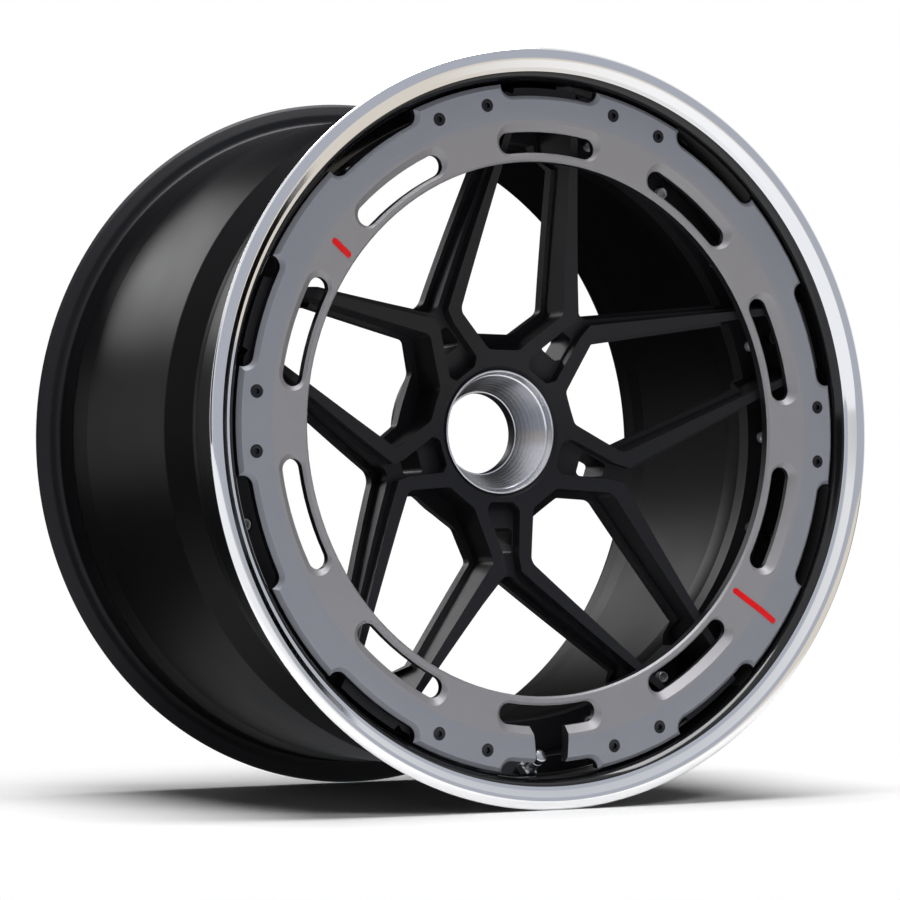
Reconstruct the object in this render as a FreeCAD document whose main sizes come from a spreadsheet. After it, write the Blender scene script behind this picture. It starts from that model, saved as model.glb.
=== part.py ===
import FreeCAD, Part
import math
import os
import Sketcher

# Forged centre-lock wheel, 20 x 12 inch, in millimetres.
# The axis is Y, the face looks along -Y, Z is up and the valve is at the bottom.
# Profiles are drawn as radius and depth, the depth counted from the front edge of the lip,
# and every piece is then moved by half the overall width, so the origin is the wheel's centre.

DRIVING_SIZES = [
    # the rim
    ("bead_width", 304.8),
    ("bead_radius", 254.0),
    ("flange_thickness", 7.6),
    ("flange_height", 17.5),
    ("tip_run", 5.0),
    ("flange_land", 3.0),
    ("flange_face", 1.5),
    ("tip_depth", 2.0),
    ("tip_round", 7.25),
    ("flange_curl", 14.0),
    ("bead_corner", 6.5),
    ("seat_width", 21.0),
    ("seat_drop", 1.9),
    ("hump_rise", 1.0),
    ("hump_width", 4.0),
    ("lip_bevel_rise", 3.5),
    ("lip_bevel_depth", 4.5),
    ("lip_wall", 2.8),
    ("lip_wall_depth", 14.0),
    ("lip_round", 14.0),
    ("step_depth", 40.0),
    ("step_run", 6.0),
    ("step_height", 13.3),
    ("slope_run", 14.0),
    ("rim_wall", 5.0),
    ("shelf_drop", 4.0),
    ("shelf_slope", 29.0),
    ("shelf_taper", 19.4),
    ("rear_wall", 6.0),
    # the bolted joint between the centre and the rim halves
    ("joint_inset", 12.5),
    ("joint_depth", 71.0),
    ("centre_flange", 12.0),
    ("lip_flange", 7.0),
    ("barrel_flange", 11.0),
    ("spigot_inset", 6.0),
    ("barrel_root", 3.0),
    ("bolt_inset", 11.0),
    ("bolt_count", 20),
    ("bolt_radius", 3.0),
    ("bolt_head_radius", 4.2),
    ("bolt_head_height", 5.0),
    ("bolt_socket", 2.9),
    ("bolt_end", 1.5),
    ("bolt_seat_radius", 7.0),
    ("bolt_seat_depth", 0.8),
    ("washer_radius", 6.0),
    ("washer_thickness", 1.2),
    ("nut_radius", 5.7),
    ("nut_height", 5.0),
    ("seal_offset", 8.5),
    ("seal_radius", 1.35),
    ("grub_count", 40),
    ("grub_radius", 1.9),
    ("grub_length", 5.0),
    ("grub_socket", 0.9),
    ("clearance", 0.3),
    # the hub
    ("spoke_count", 5),
    ("hub_face_depth", 81.5),
    ("hub_chamfer", 2.7),
    ("pad_depth", 123.0),
    ("pad_land", 12.0),
    ("face_end_gap", 20.0294),
    ("cone_radius", 45.5),
    ("cone_rim", 1.3),
    ("cone_ledge", 1.0),
    ("cone_bore_length", 9.5),
    ("cone_bore_radius", 30.0),
    ("cone_shoulder", 5.8),
    ("cone_seat", 4.5),
    ("cone_inset", 0.6),
    ("cone_groove", 0.7),
    ("drive_offset", 12.5),
    ("drive_pin_radius", 7.2),
    ("drive_bush_wall", 1.3),
    ("drive_hole_depth", 11.0),
    # the spokes, half widths across a narrow window at two stations
    ("near_station", 100.0),
    ("far_station", 190.0),
    ("window_near", 41.5),
    ("window_far", 28.0),
    ("rail_near", 11.1),
    ("rail_far", 6.6),
    ("ledge_width_near", 4.4),
    ("ledge_width_far", 2.6),
    ("window_hub_half", 12.5),
    ("window_hub_land", 11.5),
    ("window_shoulder_run", 26.5),
    ("loop_width", 7.0),
    ("window_corner", 8.0),
    ("fork_corner", 9.0),
    ("flare", 3.5),
    ("recess_depth", 9.5),
    ("recess_end", 20.0),
    ("pocket_land", 3.2),
    ("pocket_half", 9.5),
    ("pocket_shoulder_half", 13.8),
    ("pocket_shoulder_run", 5.8),
    ("pocket_waist_half", 6.3),
    ("pocket_length", 40.3),
    ("pocket_corner", 3.0),
    ("pocket_hole_gap", 19.3),
    ("pocket_hole_end_gap", 2.0),
    ("pocket_hole_rim", 1.0),
    ("wall_slope", 0.44),
    ("wall_depth", 86.5),
    ("wall_station", 111.0),
    ("arm_back", 8.5),
    ("arm_run", 10.0),
    ("foot_run", 9.5),
    ("loop_inset", 2.5),
    ("loop_gap", 3.0),
    # the slotted ring in front
    ("ring_face_depth", 9.5),
    ("ring_thickness", 9.0),
    ("ring_gap", 1.8),
    ("ring_width", 55.8),
    ("ring_land", 24.0),
    ("ring_dish", 5.2),
    ("ring_inner_thickness", 8.0),
    ("ring_edge_bevel", 3.0),
    ("ring_inner_bevel", 1.5),
    ("slot_count", 10),
    ("slot_inset", 13.8),
    ("slot_half_width", 7.5),
    ("slot_half_angle", 8.95),
    ("slot_bevel", 3.5),
    ("notch_depth", 9.0),
    ("notch_half_width", 8.0),
    ("notch_half_angle", 7.5),
    ("notch_bevel", 3.0),
    ("valve_cut_inner_half", 15.2),
    ("valve_cut_outer_half", 12.6),
    ("screw_inset", 13.5),
    ("screw_pair_angle", 5.0),
    ("screw_head_radius", 4.7),
    ("screw_radius", 2.5),
    ("screw_length", 19.0),
    ("screw_socket", 2.3),
    ("screw_socket_depth", 2.2),
    ("ear_half_width", 8.5),
    ("ear_thickness", 12.0),
    ("ear_angle", 15.7),
    ("ear_half_angle", 7.9),
    ("insert_wall", 1.2),
    ("accent_angle", 126.0),
    ("accent_width", 4.6),
    ("accent_inset", 1.2),
    ("accent_rise", 0.5),
    ("accent_gap", 5.3),
    ("accent_end_gap", 8.5),
    ("accent_short_length", 19.0),
    # the valve, measured along its own axis from its tip
    ("valve_reach", 21.0),
    ("valve_hole_radius", 5.65),
    ("valve_radius", 4.1),
    ("valve_bore_radius", 1.8),
    ("valve_core_length", 12.0),
    ("valve_cap_radius", 5.0),
    ("valve_cap_length", 8.5),
    ("valve_cap_wall", 1.5),
    ("valve_nut_radius", 8.0),
    ("valve_nut_height", 4.5),
    ("valve_seat_radius", 9.0),
    ("valve_seat_depth", 0.6),
    ("valve_foot_radius", 8.3),
    ("valve_foot_height", 3.0),
    ("valve_seal_height", 2.5),
    ("valve_wall", 7.0),
]

# the ring is screwed to six ears, one pair of screws each
EAR_ANGLES = [18.0, 90.0, 162.0, 198.0, 270.0, 342.0]

AXIS = FreeCAD.Vector(0, 1, 0)
ORIGIN = FreeCAD.Vector(0, 0, 0)

doc = FreeCAD.newDocument("ForgedWheel")
sheet = doc.addObject("Spreadsheet::Sheet", "Sizes")


class Size:
    """A length with its number and the expression that binds it to the sheet."""

    def __init__(self, number, text):
        self.number = number
        self.text = text

    def combine(self, other, sign, number):
        other_text = other.text if isinstance(other, Size) else repr(float(other))
        return Size(number, "(" + self.text + sign + other_text + ")")

    def __add__(self, other):
        return self.combine(other, " + ", self.number + number_of(other))

    def __sub__(self, other):
        return self.combine(other, " - ", self.number - number_of(other))

    def __mul__(self, other):
        return self.combine(other, " * ", self.number * number_of(other))

    def __truediv__(self, other):
        return self.combine(other, " / ", self.number / number_of(other))


def number_of(size):
    return size.number if isinstance(size, Size) else float(size)


def fill_sheet():
    """Put each driving size in its own cell, and return the sizes by name."""
    for row, (alias, number) in enumerate(DRIVING_SIZES, start=1):
        sheet.set("A%d" % row, alias.replace("_", " "))
        sheet.set("B%d" % row, str(number))
        sheet.setAlias("B%d" % row, alias)
    doc.recompute()
    return {alias: Size(float(sheet.get(alias)), "Sizes." + alias) for alias, number in DRIVING_SIZES}


size = fill_sheet()
ON_AXIS = Size(0.0, "0 mm")
FRONT_EDGE = Size(0.0, "0 mm")


def follow(alias, start, *steps):
    """Name a size that follows from others: the start, then each (sign, size) step from it."""
    total = size[start]
    for sign, step in steps:
        total = total + size[step] if sign == "+" else total - size[step]
    size[alias] = total


# The rim's radii are counted from the bead seat, the joint's from the well, and the ring's from the lip's wall
size["overall_width"] = size["bead_width"] + size["flange_thickness"] * 2
follow("flange_radius", "bead_radius", ("+", "flange_height"))
follow("flange_flat_radius", "flange_radius", ("-", "tip_run"))
follow("flange_edge_radius", "flange_flat_radius", ("-", "flange_land"))
follow("flange_curve_radius", "bead_radius", ("+", "bead_corner"), ("+", "flange_face"))
follow("lip_bevel_radius", "bead_radius", ("+", "lip_bevel_rise"))
follow("lip_wall_radius", "bead_radius", ("-", "seat_drop"), ("-", "lip_wall"))
follow("well_wall_radius", "lip_wall_radius", ("-", "step_height"))
follow("slope_front_depth", "step_depth", ("+", "step_run"))
follow("well_front_depth", "slope_front_depth", ("+", "slope_run"))
follow("shelf_radius", "bead_radius", ("-", "shelf_drop"))
follow("bolt_circle", "well_wall_radius", ("-", "bolt_inset"))
follow("joint_inner_radius", "bolt_circle", ("-", "joint_inset"))
follow("spigot_radius", "bolt_circle", ("-", "spigot_inset"))
follow("seal_circle", "bolt_circle", ("+", "seal_offset"))
# The hub's radii are counted from the cone
follow("hub_edge_radius", "cone_radius", ("+", "clearance"), ("+", "hub_chamfer"))
follow("cone_mouth_radius", "cone_radius", ("-", "cone_rim"))
follow("cone_nose_radius", "cone_radius", ("-", "cone_shoulder"))
follow("cone_throat_depth", "pad_depth", ("-", "cone_bore_length"))
follow("cone_throat_radius", "cone_bore_radius", ("+", "cone_ledge"))
follow("drive_circle", "cone_radius", ("+", "drive_offset"))
follow("pad_radius", "drive_circle", ("+", "pad_land"))
follow("window_hub_radius", "hub_edge_radius", ("+", "window_hub_land"))
follow("window_shoulder", "window_hub_radius", ("+", "window_shoulder_run"))
follow("pocket_radius", "hub_edge_radius", ("+", "pocket_land"))
follow("pocket_shoulder", "pocket_radius", ("+", "pocket_shoulder_run"))
follow("pocket_waist", "pocket_radius", ("+", "pocket_length"))
follow("pocket_hole_start", "pocket_radius", ("+", "pocket_hole_gap"))
follow("pocket_hole_end", "pocket_waist", ("-", "pocket_hole_end_gap"))
follow("band_near", "window_near", ("+", "rail_near"))
follow("band_far", "window_far", ("+", "rail_far"))
follow("ledge_near", "band_near", ("+", "ledge_width_near"))
follow("ledge_far", "band_far", ("+", "ledge_width_far"))
follow("foot_radius", "joint_inner_radius", ("-", "foot_run"))
follow("arm_end_radius", "foot_radius", ("-", "arm_run"))
follow("ring_outer_radius", "lip_wall_radius", ("-", "ring_gap"))
follow("ring_inner_radius", "ring_outer_radius", ("-", "ring_width"))
follow("ring_crease_radius", "ring_outer_radius", ("-", "ring_land"))
follow("slot_circle", "ring_inner_radius", ("+", "slot_inset"))
follow("notch_floor", "ring_outer_radius", ("-", "notch_depth"))
follow("screw_circle", "ring_outer_radius", ("-", "screw_inset"))
follow("accent_inner_radius", "ring_inner_radius", ("+", "accent_gap"))
follow("accent_long_end", "ring_outer_radius", ("-", "accent_end_gap"))
follow("accent_short_end", "accent_inner_radius", ("+", "accent_short_length"))
follow("loop_radius", "ring_outer_radius", ("-", "loop_inset"))
follow("window_outer_radius", "loop_radius", ("-", "loop_width"))
follow("recess_reach", "window_outer_radius", ("-", "recess_end"))
follow("face_end_radius", "loop_radius", ("-", "face_end_gap"))
follow("face_rise", "hub_face_depth", ("-", "ring_face_depth"), ("-", "ring_thickness"))
# The spokes' face runs straight from the hub's edge to the back of the ring
size["face_slope"] = size["face_rise"] / (size["face_end_radius"] - size["hub_edge_radius"])
half_width = size["overall_width"] / 2


class Numbers:
    """The plain numbers of the sheet, for shapes that are worked out in code."""

    def __init__(self, sizes):
        for alias, entry in sizes.items():
            setattr(self, alias, entry.number)


n = Numbers(size)


def move_to_centre(piece):
    """Count the piece's depths from the wheel's middle."""
    piece.Placement = FreeCAD.Placement(FreeCAD.Vector(0, -half_width.number, 0), FreeCAD.Rotation())
    piece.setExpression("Placement.Base.y", "-" + half_width.text)


def arc_between(start, end, radius, turn):
    """An arc from start to end; turn is 1 where it bulges to the right of its chord, else -1."""
    chord = end - start
    side = FreeCAD.Vector(chord.y, -chord.x, 0).normalize() * turn
    rise = math.sqrt(radius ** 2 - (chord.Length / 2) ** 2)
    centre = (start + end) * 0.5 - side * rise
    circle = Part.Circle(centre, FreeCAD.Vector(0, 0, 1), radius)
    first, last = (end, start) if turn == -1 else (start, end)
    first_angle = math.atan2(first.y - centre.y, first.x - centre.x)
    last_angle = math.atan2(last.y - centre.y, last.x - centre.x)
    return Part.ArcOfCircle(circle, first_angle, last_angle), turn


def draw_profile(sketch, corners):
    """A closed profile of radius and depth pairs; a third and fourth item make the run that follows an arc."""
    count = len(corners)
    spots = [FreeCAD.Vector(c[0].number, c[1].number, 0) for c in corners]
    ends = []
    for i, corner in enumerate(corners):
        start, end = spots[i], spots[(i + 1) % count]
        if len(corner) == 4:
            arc, turn = arc_between(start, end, corner[2].number, corner[3])
            sketch.addGeometry(arc, False)
            ends.append((1, 2) if turn == 1 else (2, 1))
        else:
            sketch.addGeometry(Part.LineSegment(start, end), False)
            ends.append((1, 2))
    for i in range(count):
        following = (i + 1) % count
        sketch.addConstraint(Sketcher.Constraint("Coincident", i, ends[i][1], following, ends[following][0]))
    for i, corner in enumerate(corners):
        for kind, entry in (("DistanceX", corner[0]), ("DistanceY", corner[1])):
            rule = Sketcher.Constraint(kind, -1, 1, i, ends[i][0], entry.number)
            sketch.setExpression("Constraints[%d]" % sketch.addConstraint(rule), entry.text)
        if len(corner) == 4:
            rule = Sketcher.Constraint("Radius", i, corner[2].number)
            sketch.setExpression("Constraints[%d]" % sketch.addConstraint(rule), corner[2].text)


def origin_plane(body, role):
    return next(item for item in body.Origin.OriginFeatures if item.Role == role)


def turned_body(name, corners):
    """A piece turned about the Y axis from one profile."""
    body = doc.addObject("PartDesign::Body", name)
    body.Label = name
    sketch = body.newObject("Sketcher::SketchObject", name + "_profile")
    sketch.AttachmentSupport = [(origin_plane(body, "XY_Plane"), "")]
    sketch.MapMode = "FlatFace"
    draw_profile(sketch, corners)
    turned = body.newObject("PartDesign::Revolution", name + "_turned")
    turned.Profile = sketch
    turned.ReferenceAxis = (sketch, ["V_Axis"])
    turned.Angle = 360
    doc.recompute()
    return body


def hex_pocket(body, flat_size, start, depth):
    """A six-sided hole about the Y axis, sunk from the plane at the start depth."""
    sketch = body.newObject("Sketcher::SketchObject", body.Name + "_hexagon")
    sketch.AttachmentSupport = [(origin_plane(body, "XZ_Plane"), "")]
    sketch.MapMode = "FlatFace"
    sketch.AttachmentOffset = FreeCAD.Placement(FreeCAD.Vector(0, 0, -start.number), FreeCAD.Rotation())
    sketch.setExpression("AttachmentOffset.Base.z", "-" + start.text)
    across = flat_size.number
    tips = [FreeCAD.Vector(across * math.cos(math.radians(60 * k)), across * math.sin(math.radians(60 * k)), 0)
            for k in range(6)]
    for k in range(6):
        sketch.addGeometry(Part.LineSegment(tips[k], tips[(k + 1) % 6]), False)
    sketch.addGeometry(Part.Circle(ORIGIN, FreeCAD.Vector(0, 0, 1), across), True)
    sketch.addConstraint(Sketcher.Constraint("Coincident", 6, 3, -1, 1))
    rule = sketch.addConstraint(Sketcher.Constraint("Radius", 6, across))
    sketch.setExpression("Constraints[%d]" % rule, flat_size.text)
    for k in range(6):
        sketch.addConstraint(Sketcher.Constraint("Coincident", k, 2, (k + 1) % 6, 1))
        sketch.addConstraint(Sketcher.Constraint("PointOnObject", k, 1, 6))
    for k in range(5):
        sketch.addConstraint(Sketcher.Constraint("Equal", k, k + 1))
    sketch.addConstraint(Sketcher.Constraint("PointOnObject", 0, 1, -1))
    pocket = body.newObject("PartDesign::Pocket", body.Name + "_socket")
    pocket.Profile = sketch
    pocket.Length = depth.number
    pocket.setExpression("Length", depth.text)
    before = body.Shape.Volume
    doc.recompute()
    if body.Shape.Volume > before - 1e-6:
        pocket.Reversed = True
        doc.recompute()
    if body.Shape.Volume > before - 1e-6:
        raise ValueError(body.Name + ": the socket removed nothing")


def coded_piece(name, shape):
    """A piece whose shape is worked out from the sheet's numbers."""
    piece = doc.addObject("Part::Feature", name)
    piece.Label = name
    piece.Shape = shape
    move_to_centre(piece)
    return piece


def cut_piece(name, blank, tools):
    """A turned blank with its openings cut out."""
    cutter = coded_piece(name + "_openings", Part.makeCompound(tools))
    piece = doc.addObject("Part::Cut", name)
    piece.Label = name
    piece.Base = blank
    piece.Tool = cutter
    doc.recompute()
    return piece


def turned_about(shape, angle):
    """A copy of the shape, turned clockwise about the axis as seen from the front."""
    copy = shape.copy()
    copy.rotate(ORIGIN, AXIS, angle)
    return copy


def around(shape, angles):
    return [turned_about(shape, angle) for angle in angles]


def even_angles(count, start=0.0):
    return [start + 360.0 * k / count for k in range(int(count))]


def zone(corners):
    """The solid swept by a polygon of radius and depth pairs."""
    wire = Part.makePolygon([FreeCAD.Vector(r, d, 0) for r, d in corners + corners[:1]])
    return Part.Face(wire).revolve(ORIGIN, AXIS, 360)


def rounded_outline(corners, depth):
    """A face square to the axis from (x, z, corner radius) items."""
    spots = [FreeCAD.Vector(x, depth, z) for x, z, radius in corners]
    count = len(spots)
    runs = []
    for i, (x, z, radius) in enumerate(corners):
        back = (spots[i - 1] - spots[i]).normalize()
        ahead = (spots[(i + 1) % count] - spots[i]).normalize()
        half = math.acos(max(-1.0, min(1.0, back.dot(ahead)))) / 2
        reach = radius / math.tan(half)
        bisector = (back + ahead).normalize()
        middle = spots[i] + bisector * (radius / math.sin(half) - radius)
        runs.append((spots[i] + back * reach, middle, spots[i] + ahead * reach))
    edges = []
    for i, (start, middle, end) in enumerate(runs):
        if corners[i][2] > 0:
            edges.append(Part.Arc(start, middle, end).toShape())
        edges.append(Part.makeLine(end, runs[(i + 1) % count][0]))
    return Part.Face(Part.Wire(edges))


def prism(corners, start=-100.0, length=400.0):
    return rounded_outline(corners, start).extrude(FreeCAD.Vector(0, length, 0))


def mirrored_outline(right_side):
    """Close an outline over its mirror image; the points run outwards on the right."""
    return right_side + [(-x, z, radius) for x, z, radius in reversed(right_side)]


def arc_slot_wire(circle, half_width, half_angle, depth):
    """The outline of a slot along a circle, with round ends, centred at the top."""
    def spot(radius, angle):
        return FreeCAD.Vector(radius * math.sin(angle), depth, radius * math.cos(angle))
    sweep = math.radians(half_angle)
    outer, inner = circle + half_width, circle - half_width
    edges = [
        Part.Arc(spot(outer, -sweep), spot(outer, 0), spot(outer, sweep)).toShape(),
        Part.Arc(spot(outer, sweep), cap_tip(circle, half_width, sweep, depth, 1), spot(inner, sweep)).toShape(),
        Part.Arc(spot(inner, sweep), spot(inner, 0), spot(inner, -sweep)).toShape(),
        Part.Arc(spot(inner, -sweep), cap_tip(circle, half_width, sweep, depth, -1), spot(outer, -sweep)).toShape(),
    ]
    return Part.Wire(edges)


def cap_tip(circle, half_width, sweep, depth, side):
    """The furthest point of a slot's round end."""
    x = circle * math.sin(sweep) + half_width * math.cos(sweep)
    z = circle * math.cos(sweep) - half_width * math.sin(sweep)
    return FreeCAD.Vector(side * x, depth, z)


def arc_slot(circle, half_width, half_angle, start, length):
    wire = arc_slot_wire(circle, half_width, half_angle, start)
    return Part.Face(wire).extrude(FreeCAD.Vector(0, length, 0))


def bevelled_slot(circle, half_width, half_angle, bevel, face, back):
    """A slot right through, its edge bevelled towards the face."""
    through = arc_slot(circle, half_width, half_angle, face - bevel, back - face + 2 * bevel)
    wide = arc_slot_wire(circle, half_width + 2 * bevel, half_angle, face - bevel)
    narrow = arc_slot_wire(circle, half_width, half_angle, face + bevel)
    return through.fuse(Part.makeLoft([wide, narrow], True, True))


def hole(radius, circle, start, length, angle=0.0):
    """A cylinder along the axis, on a bolt circle."""
    rod = Part.makeCylinder(radius, length, FreeCAD.Vector(0, start, circle), AXIS)
    return turned_about(rod, angle)


# Depths that several pieces share
lip_joint = size["joint_depth"] + size["centre_flange"]
rim_joint = lip_joint + size["lip_flange"]
barrel_back = rim_joint + size["barrel_flange"]
front_bead = size["flange_thickness"]
rear_bead = front_bead + size["bead_width"]
shelf_front = rim_joint + size["lip_flange"] + size["shelf_slope"]
shelf_rear = rear_bead - size["seat_width"] - size["hump_width"] - size["shelf_taper"]
well_radius = size["well_wall_radius"] + size["rim_wall"]
ring_back = size["ring_face_depth"] + size["ring_thickness"]
bolt_seat = size["joint_depth"] + size["bolt_seat_depth"]
bolt_hole = size["bolt_radius"] + size["clearance"]
bolt_angles = even_angles(n.bolt_count)
grub_depth = rim_joint + size["barrel_flange"] / 2


def valve_frame():
    """The tip of the valve and its tilt: it stands square on the step of the lip."""
    rise = n.lip_wall_radius - n.well_wall_radius
    tilt = math.degrees(math.atan2(n.step_run, rise))
    along_radius, along_depth = math.sin(math.radians(tilt)), math.cos(math.radians(tilt))
    radius = (n.lip_wall_radius + n.well_wall_radius) / 2 - along_radius * n.valve_reach
    depth = n.step_depth + n.step_run / 2 - along_depth * n.valve_reach
    return FreeCAD.Placement(FreeCAD.Vector(0, depth, -radius), FreeCAD.Rotation(FreeCAD.Vector(-1, 0, 0), tilt))


def valve_rod(radius, start, length):
    rod = Part.makeCylinder(radius, length, FreeCAD.Vector(0, start, 0), AXIS)
    rod.Placement = valve_frame().multiply(rod.Placement)
    return rod


valve_inner_seat = size["valve_reach"] + size["valve_seat_depth"]
valve_outer_seat = size["valve_reach"] + size["valve_wall"]


def make_outer_lip():
    """The polished front half of the rim, with the step and its mounting flange."""
    seat_end = front_bead + size["seat_width"]
    low_seat = size["bead_radius"] - size["seat_drop"]
    blank = turned_body("outer_lip_blank", [
        (size["flange_flat_radius"], FRONT_EDGE, size["tip_round"], 1),
        (size["flange_radius"], size["tip_depth"]),
        (size["flange_radius"] - size["tip_depth"], size["tip_depth"] * 2, size["flange_curl"], -1),
        (size["flange_curve_radius"], front_bead),
        (size["bead_radius"] + size["bead_corner"], front_bead, size["bead_corner"], -1),
        (size["bead_radius"], front_bead + size["bead_corner"]),
        (low_seat, seat_end),
        (low_seat + size["hump_rise"], seat_end + size["hump_width"]),
        (low_seat, size["slope_front_depth"]),
        (well_radius, size["well_front_depth"]),
        (well_radius, rim_joint),
        (size["spigot_radius"], rim_joint),
        (size["spigot_radius"], lip_joint),
        (size["well_wall_radius"], lip_joint),
        (size["well_wall_radius"], size["step_depth"] + size["step_run"]),
        (size["lip_wall_radius"], size["step_depth"]),
        (size["lip_wall_radius"], size["lip_wall_depth"], size["lip_round"], 1),
        (size["lip_bevel_radius"], size["lip_bevel_depth"]),
        (size["flange_edge_radius"], FRONT_EDGE),
    ])
    move_to_centre(blank)
    bolt_holes = around(hole(bolt_hole.number, n.bolt_circle, lip_joint.number - 1, n.lip_flange + 2), bolt_angles)
    valve_hole = valve_rod(n.valve_hole_radius, n.valve_reach - 5, n.valve_wall + 10)
    front_seat = valve_rod(n.valve_seat_radius, n.valve_reach - 5, 5 + n.valve_seat_depth)
    rear_seat = valve_rod(n.valve_seat_radius + 1, valve_outer_seat.number, 20)
    return cut_piece("outer_lip", blank, bolt_holes + [valve_hole.multiFuse([front_seat, rear_seat])])


def make_inner_barrel():
    """The black rear half of the rim: a spigot centres the lip, and the flange has a seal groove."""
    seat_start = rear_bead - size["seat_width"]
    low_seat = size["bead_radius"] - size["seat_drop"]
    groove = size["seal_radius"] + size["clearance"] / 2
    inner_shelf = size["shelf_radius"] - size["rim_wall"]
    inner_seat = low_seat - size["rim_wall"]
    blank = turned_body("inner_barrel_blank", [
        (well_radius, rim_joint),
        (well_radius, rim_joint + size["lip_flange"]),
        (size["shelf_radius"], shelf_front),
        (size["shelf_radius"], shelf_rear),
        (low_seat + size["hump_rise"], seat_start - size["hump_width"]),
        (low_seat, seat_start),
        (size["bead_radius"], rear_bead - size["bead_corner"], size["bead_corner"], -1),
        (size["bead_radius"] + size["bead_corner"], rear_bead),
        (size["flange_curve_radius"], rear_bead, size["flange_curl"], -1),
        (size["flange_radius"] - size["tip_depth"], size["overall_width"] - size["tip_depth"] * 2),
        (size["flange_radius"], size["overall_width"] - size["tip_depth"], size["tip_round"], 1),
        (size["flange_flat_radius"], size["overall_width"]),
        (size["flange_edge_radius"], size["overall_width"]),
        (inner_seat + size["rear_wall"], rear_bead),
        (inner_seat, rear_bead - size["rear_wall"] * 2),
        (inner_seat, seat_start - size["hump_width"]),
        (inner_shelf, shelf_rear),
        (inner_shelf, shelf_front + size["rim_wall"]),
        (size["well_wall_radius"], barrel_back + size["barrel_root"] * 2),
        (size["well_wall_radius"], barrel_back + size["barrel_root"]),
        (size["well_wall_radius"] - size["barrel_root"], barrel_back),
        (size["joint_inner_radius"], barrel_back),
        (size["joint_inner_radius"], lip_joint),
        (size["spigot_radius"] - size["clearance"], lip_joint),
        (size["spigot_radius"] - size["clearance"], rim_joint),
        (size["seal_circle"] - groove, rim_joint),
        (size["seal_circle"] - groove, rim_joint + groove * 2),
        (size["seal_circle"] + groove, rim_joint + groove * 2),
        (size["seal_circle"] + groove, rim_joint),
    ])
    move_to_centre(blank)
    bolt_holes = around(hole(bolt_hole.number, n.bolt_circle, rim_joint.number - 1, n.barrel_flange + 2), bolt_angles)
    grub_hole = Part.makeCylinder(n.grub_radius, n.grub_length + 1,
                                  FreeCAD.Vector(0, grub_depth.number, n.joint_inner_radius - 1),
                                  FreeCAD.Vector(0, 0, 1))
    return cut_piece("inner_barrel", blank, bolt_holes + around(grub_hole, even_angles(n.grub_count)))


def make_rim_seal():
    """The round rubber seal between the rim halves."""
    seal = doc.addObject("Part::Torus", "rim_seal")
    seal.Label = "rim_seal"
    seal.setExpression("Radius1", size["seal_circle"].text)
    seal.setExpression("Radius2", "Sizes.seal_radius")
    depth = rim_joint + size["seal_radius"] + size["clearance"] / 2 - half_width
    seal.Placement = FreeCAD.Placement(FreeCAD.Vector(0, depth.number, 0),
                                       FreeCAD.Rotation(FreeCAD.Vector(1, 0, 0), 90))
    seal.setExpression("Placement.Base.y", depth.text)
    return seal


def make_assembly_hardware():
    """The bolts through the three flanges, with their washers and nuts, and the small grub screws."""
    washer_back = barrel_back + size["washer_thickness"]
    nut_back = washer_back + size["nut_height"]
    bolt = turned_body("bolt_pattern", [
        (ON_AXIS, bolt_seat - size["bolt_head_height"]),
        (size["bolt_head_radius"] - size["clearance"], bolt_seat - size["bolt_head_height"]),
        (size["bolt_head_radius"], bolt_seat - size["bolt_head_height"] + size["clearance"]),
        (size["bolt_head_radius"], bolt_seat),
        (size["bolt_radius"], bolt_seat),
        (size["bolt_radius"], nut_back + size["bolt_end"]),
        (ON_AXIS, nut_back + size["bolt_end"]),
    ])
    hex_pocket(bolt, size["bolt_socket"], bolt_seat - size["bolt_head_height"], size["bolt_head_height"] * 0.6)
    washer = turned_body("washer_pattern", [
        (bolt_hole, barrel_back),
        (size["washer_radius"], barrel_back),
        (size["washer_radius"], washer_back),
        (bolt_hole, washer_back),
    ])
    nut = doc.addObject("Part::Prism", "nut_pattern")
    nut.Polygon = 6
    nut.setExpression("Circumradius", "Sizes.nut_radius")
    nut.setExpression("Height", "Sizes.nut_height")
    doc.recompute()
    nut_solid = nut.Shape.copy()
    nut_solid.rotate(ORIGIN, FreeCAD.Vector(1, 0, 0), -90)
    nut_solid.translate(FreeCAD.Vector(0, washer_back.number, 0))
    bore = Part.makeCylinder(bolt_hole.number, n.nut_height + 2, FreeCAD.Vector(0, washer_back.number - 1, 0), AXIS)
    nut_solid = nut_solid.cut(bore)
    grub = Part.makeCylinder(n.grub_radius, n.grub_length,
                             FreeCAD.Vector(0, grub_depth.number, n.joint_inner_radius),
                             FreeCAD.Vector(0, 0, 1))
    socket = Part.makeCylinder(n.grub_socket, n.grub_socket,
                               FreeCAD.Vector(0, grub_depth.number, n.joint_inner_radius),
                               FreeCAD.Vector(0, 0, 1))
    to_circle = FreeCAD.Vector(0, 0, n.bolt_circle)
    groups = []
    for name, solid in (("assembly_bolts", bolt.Shape), ("assembly_washers", washer.Shape),
                        ("assembly_nuts", nut_solid)):
        placed = solid.copy()
        placed.translate(to_circle)
        groups.append(coded_piece(name, Part.makeCompound(around(placed, bolt_angles))))
    grubs = around(grub.cut(socket), even_angles(n.grub_count))
    groups.append(coded_piece("flange_grub_screws", Part.makeCompound(grubs)))
    return groups


def station_point(near, far, station):
    """The half width of a spoke line at a distance from the axis."""
    share = (station - n.near_station) / (n.far_station - n.near_station)
    return near + (far - near) * share


def to_spoke(x, z):
    """A point beside a narrow window, seen from the middle of the neighbouring spoke."""
    turn = math.radians(180.0 / n.spoke_count)
    return x * math.cos(turn) - z * math.sin(turn), x * math.sin(turn) + z * math.cos(turn)


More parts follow.
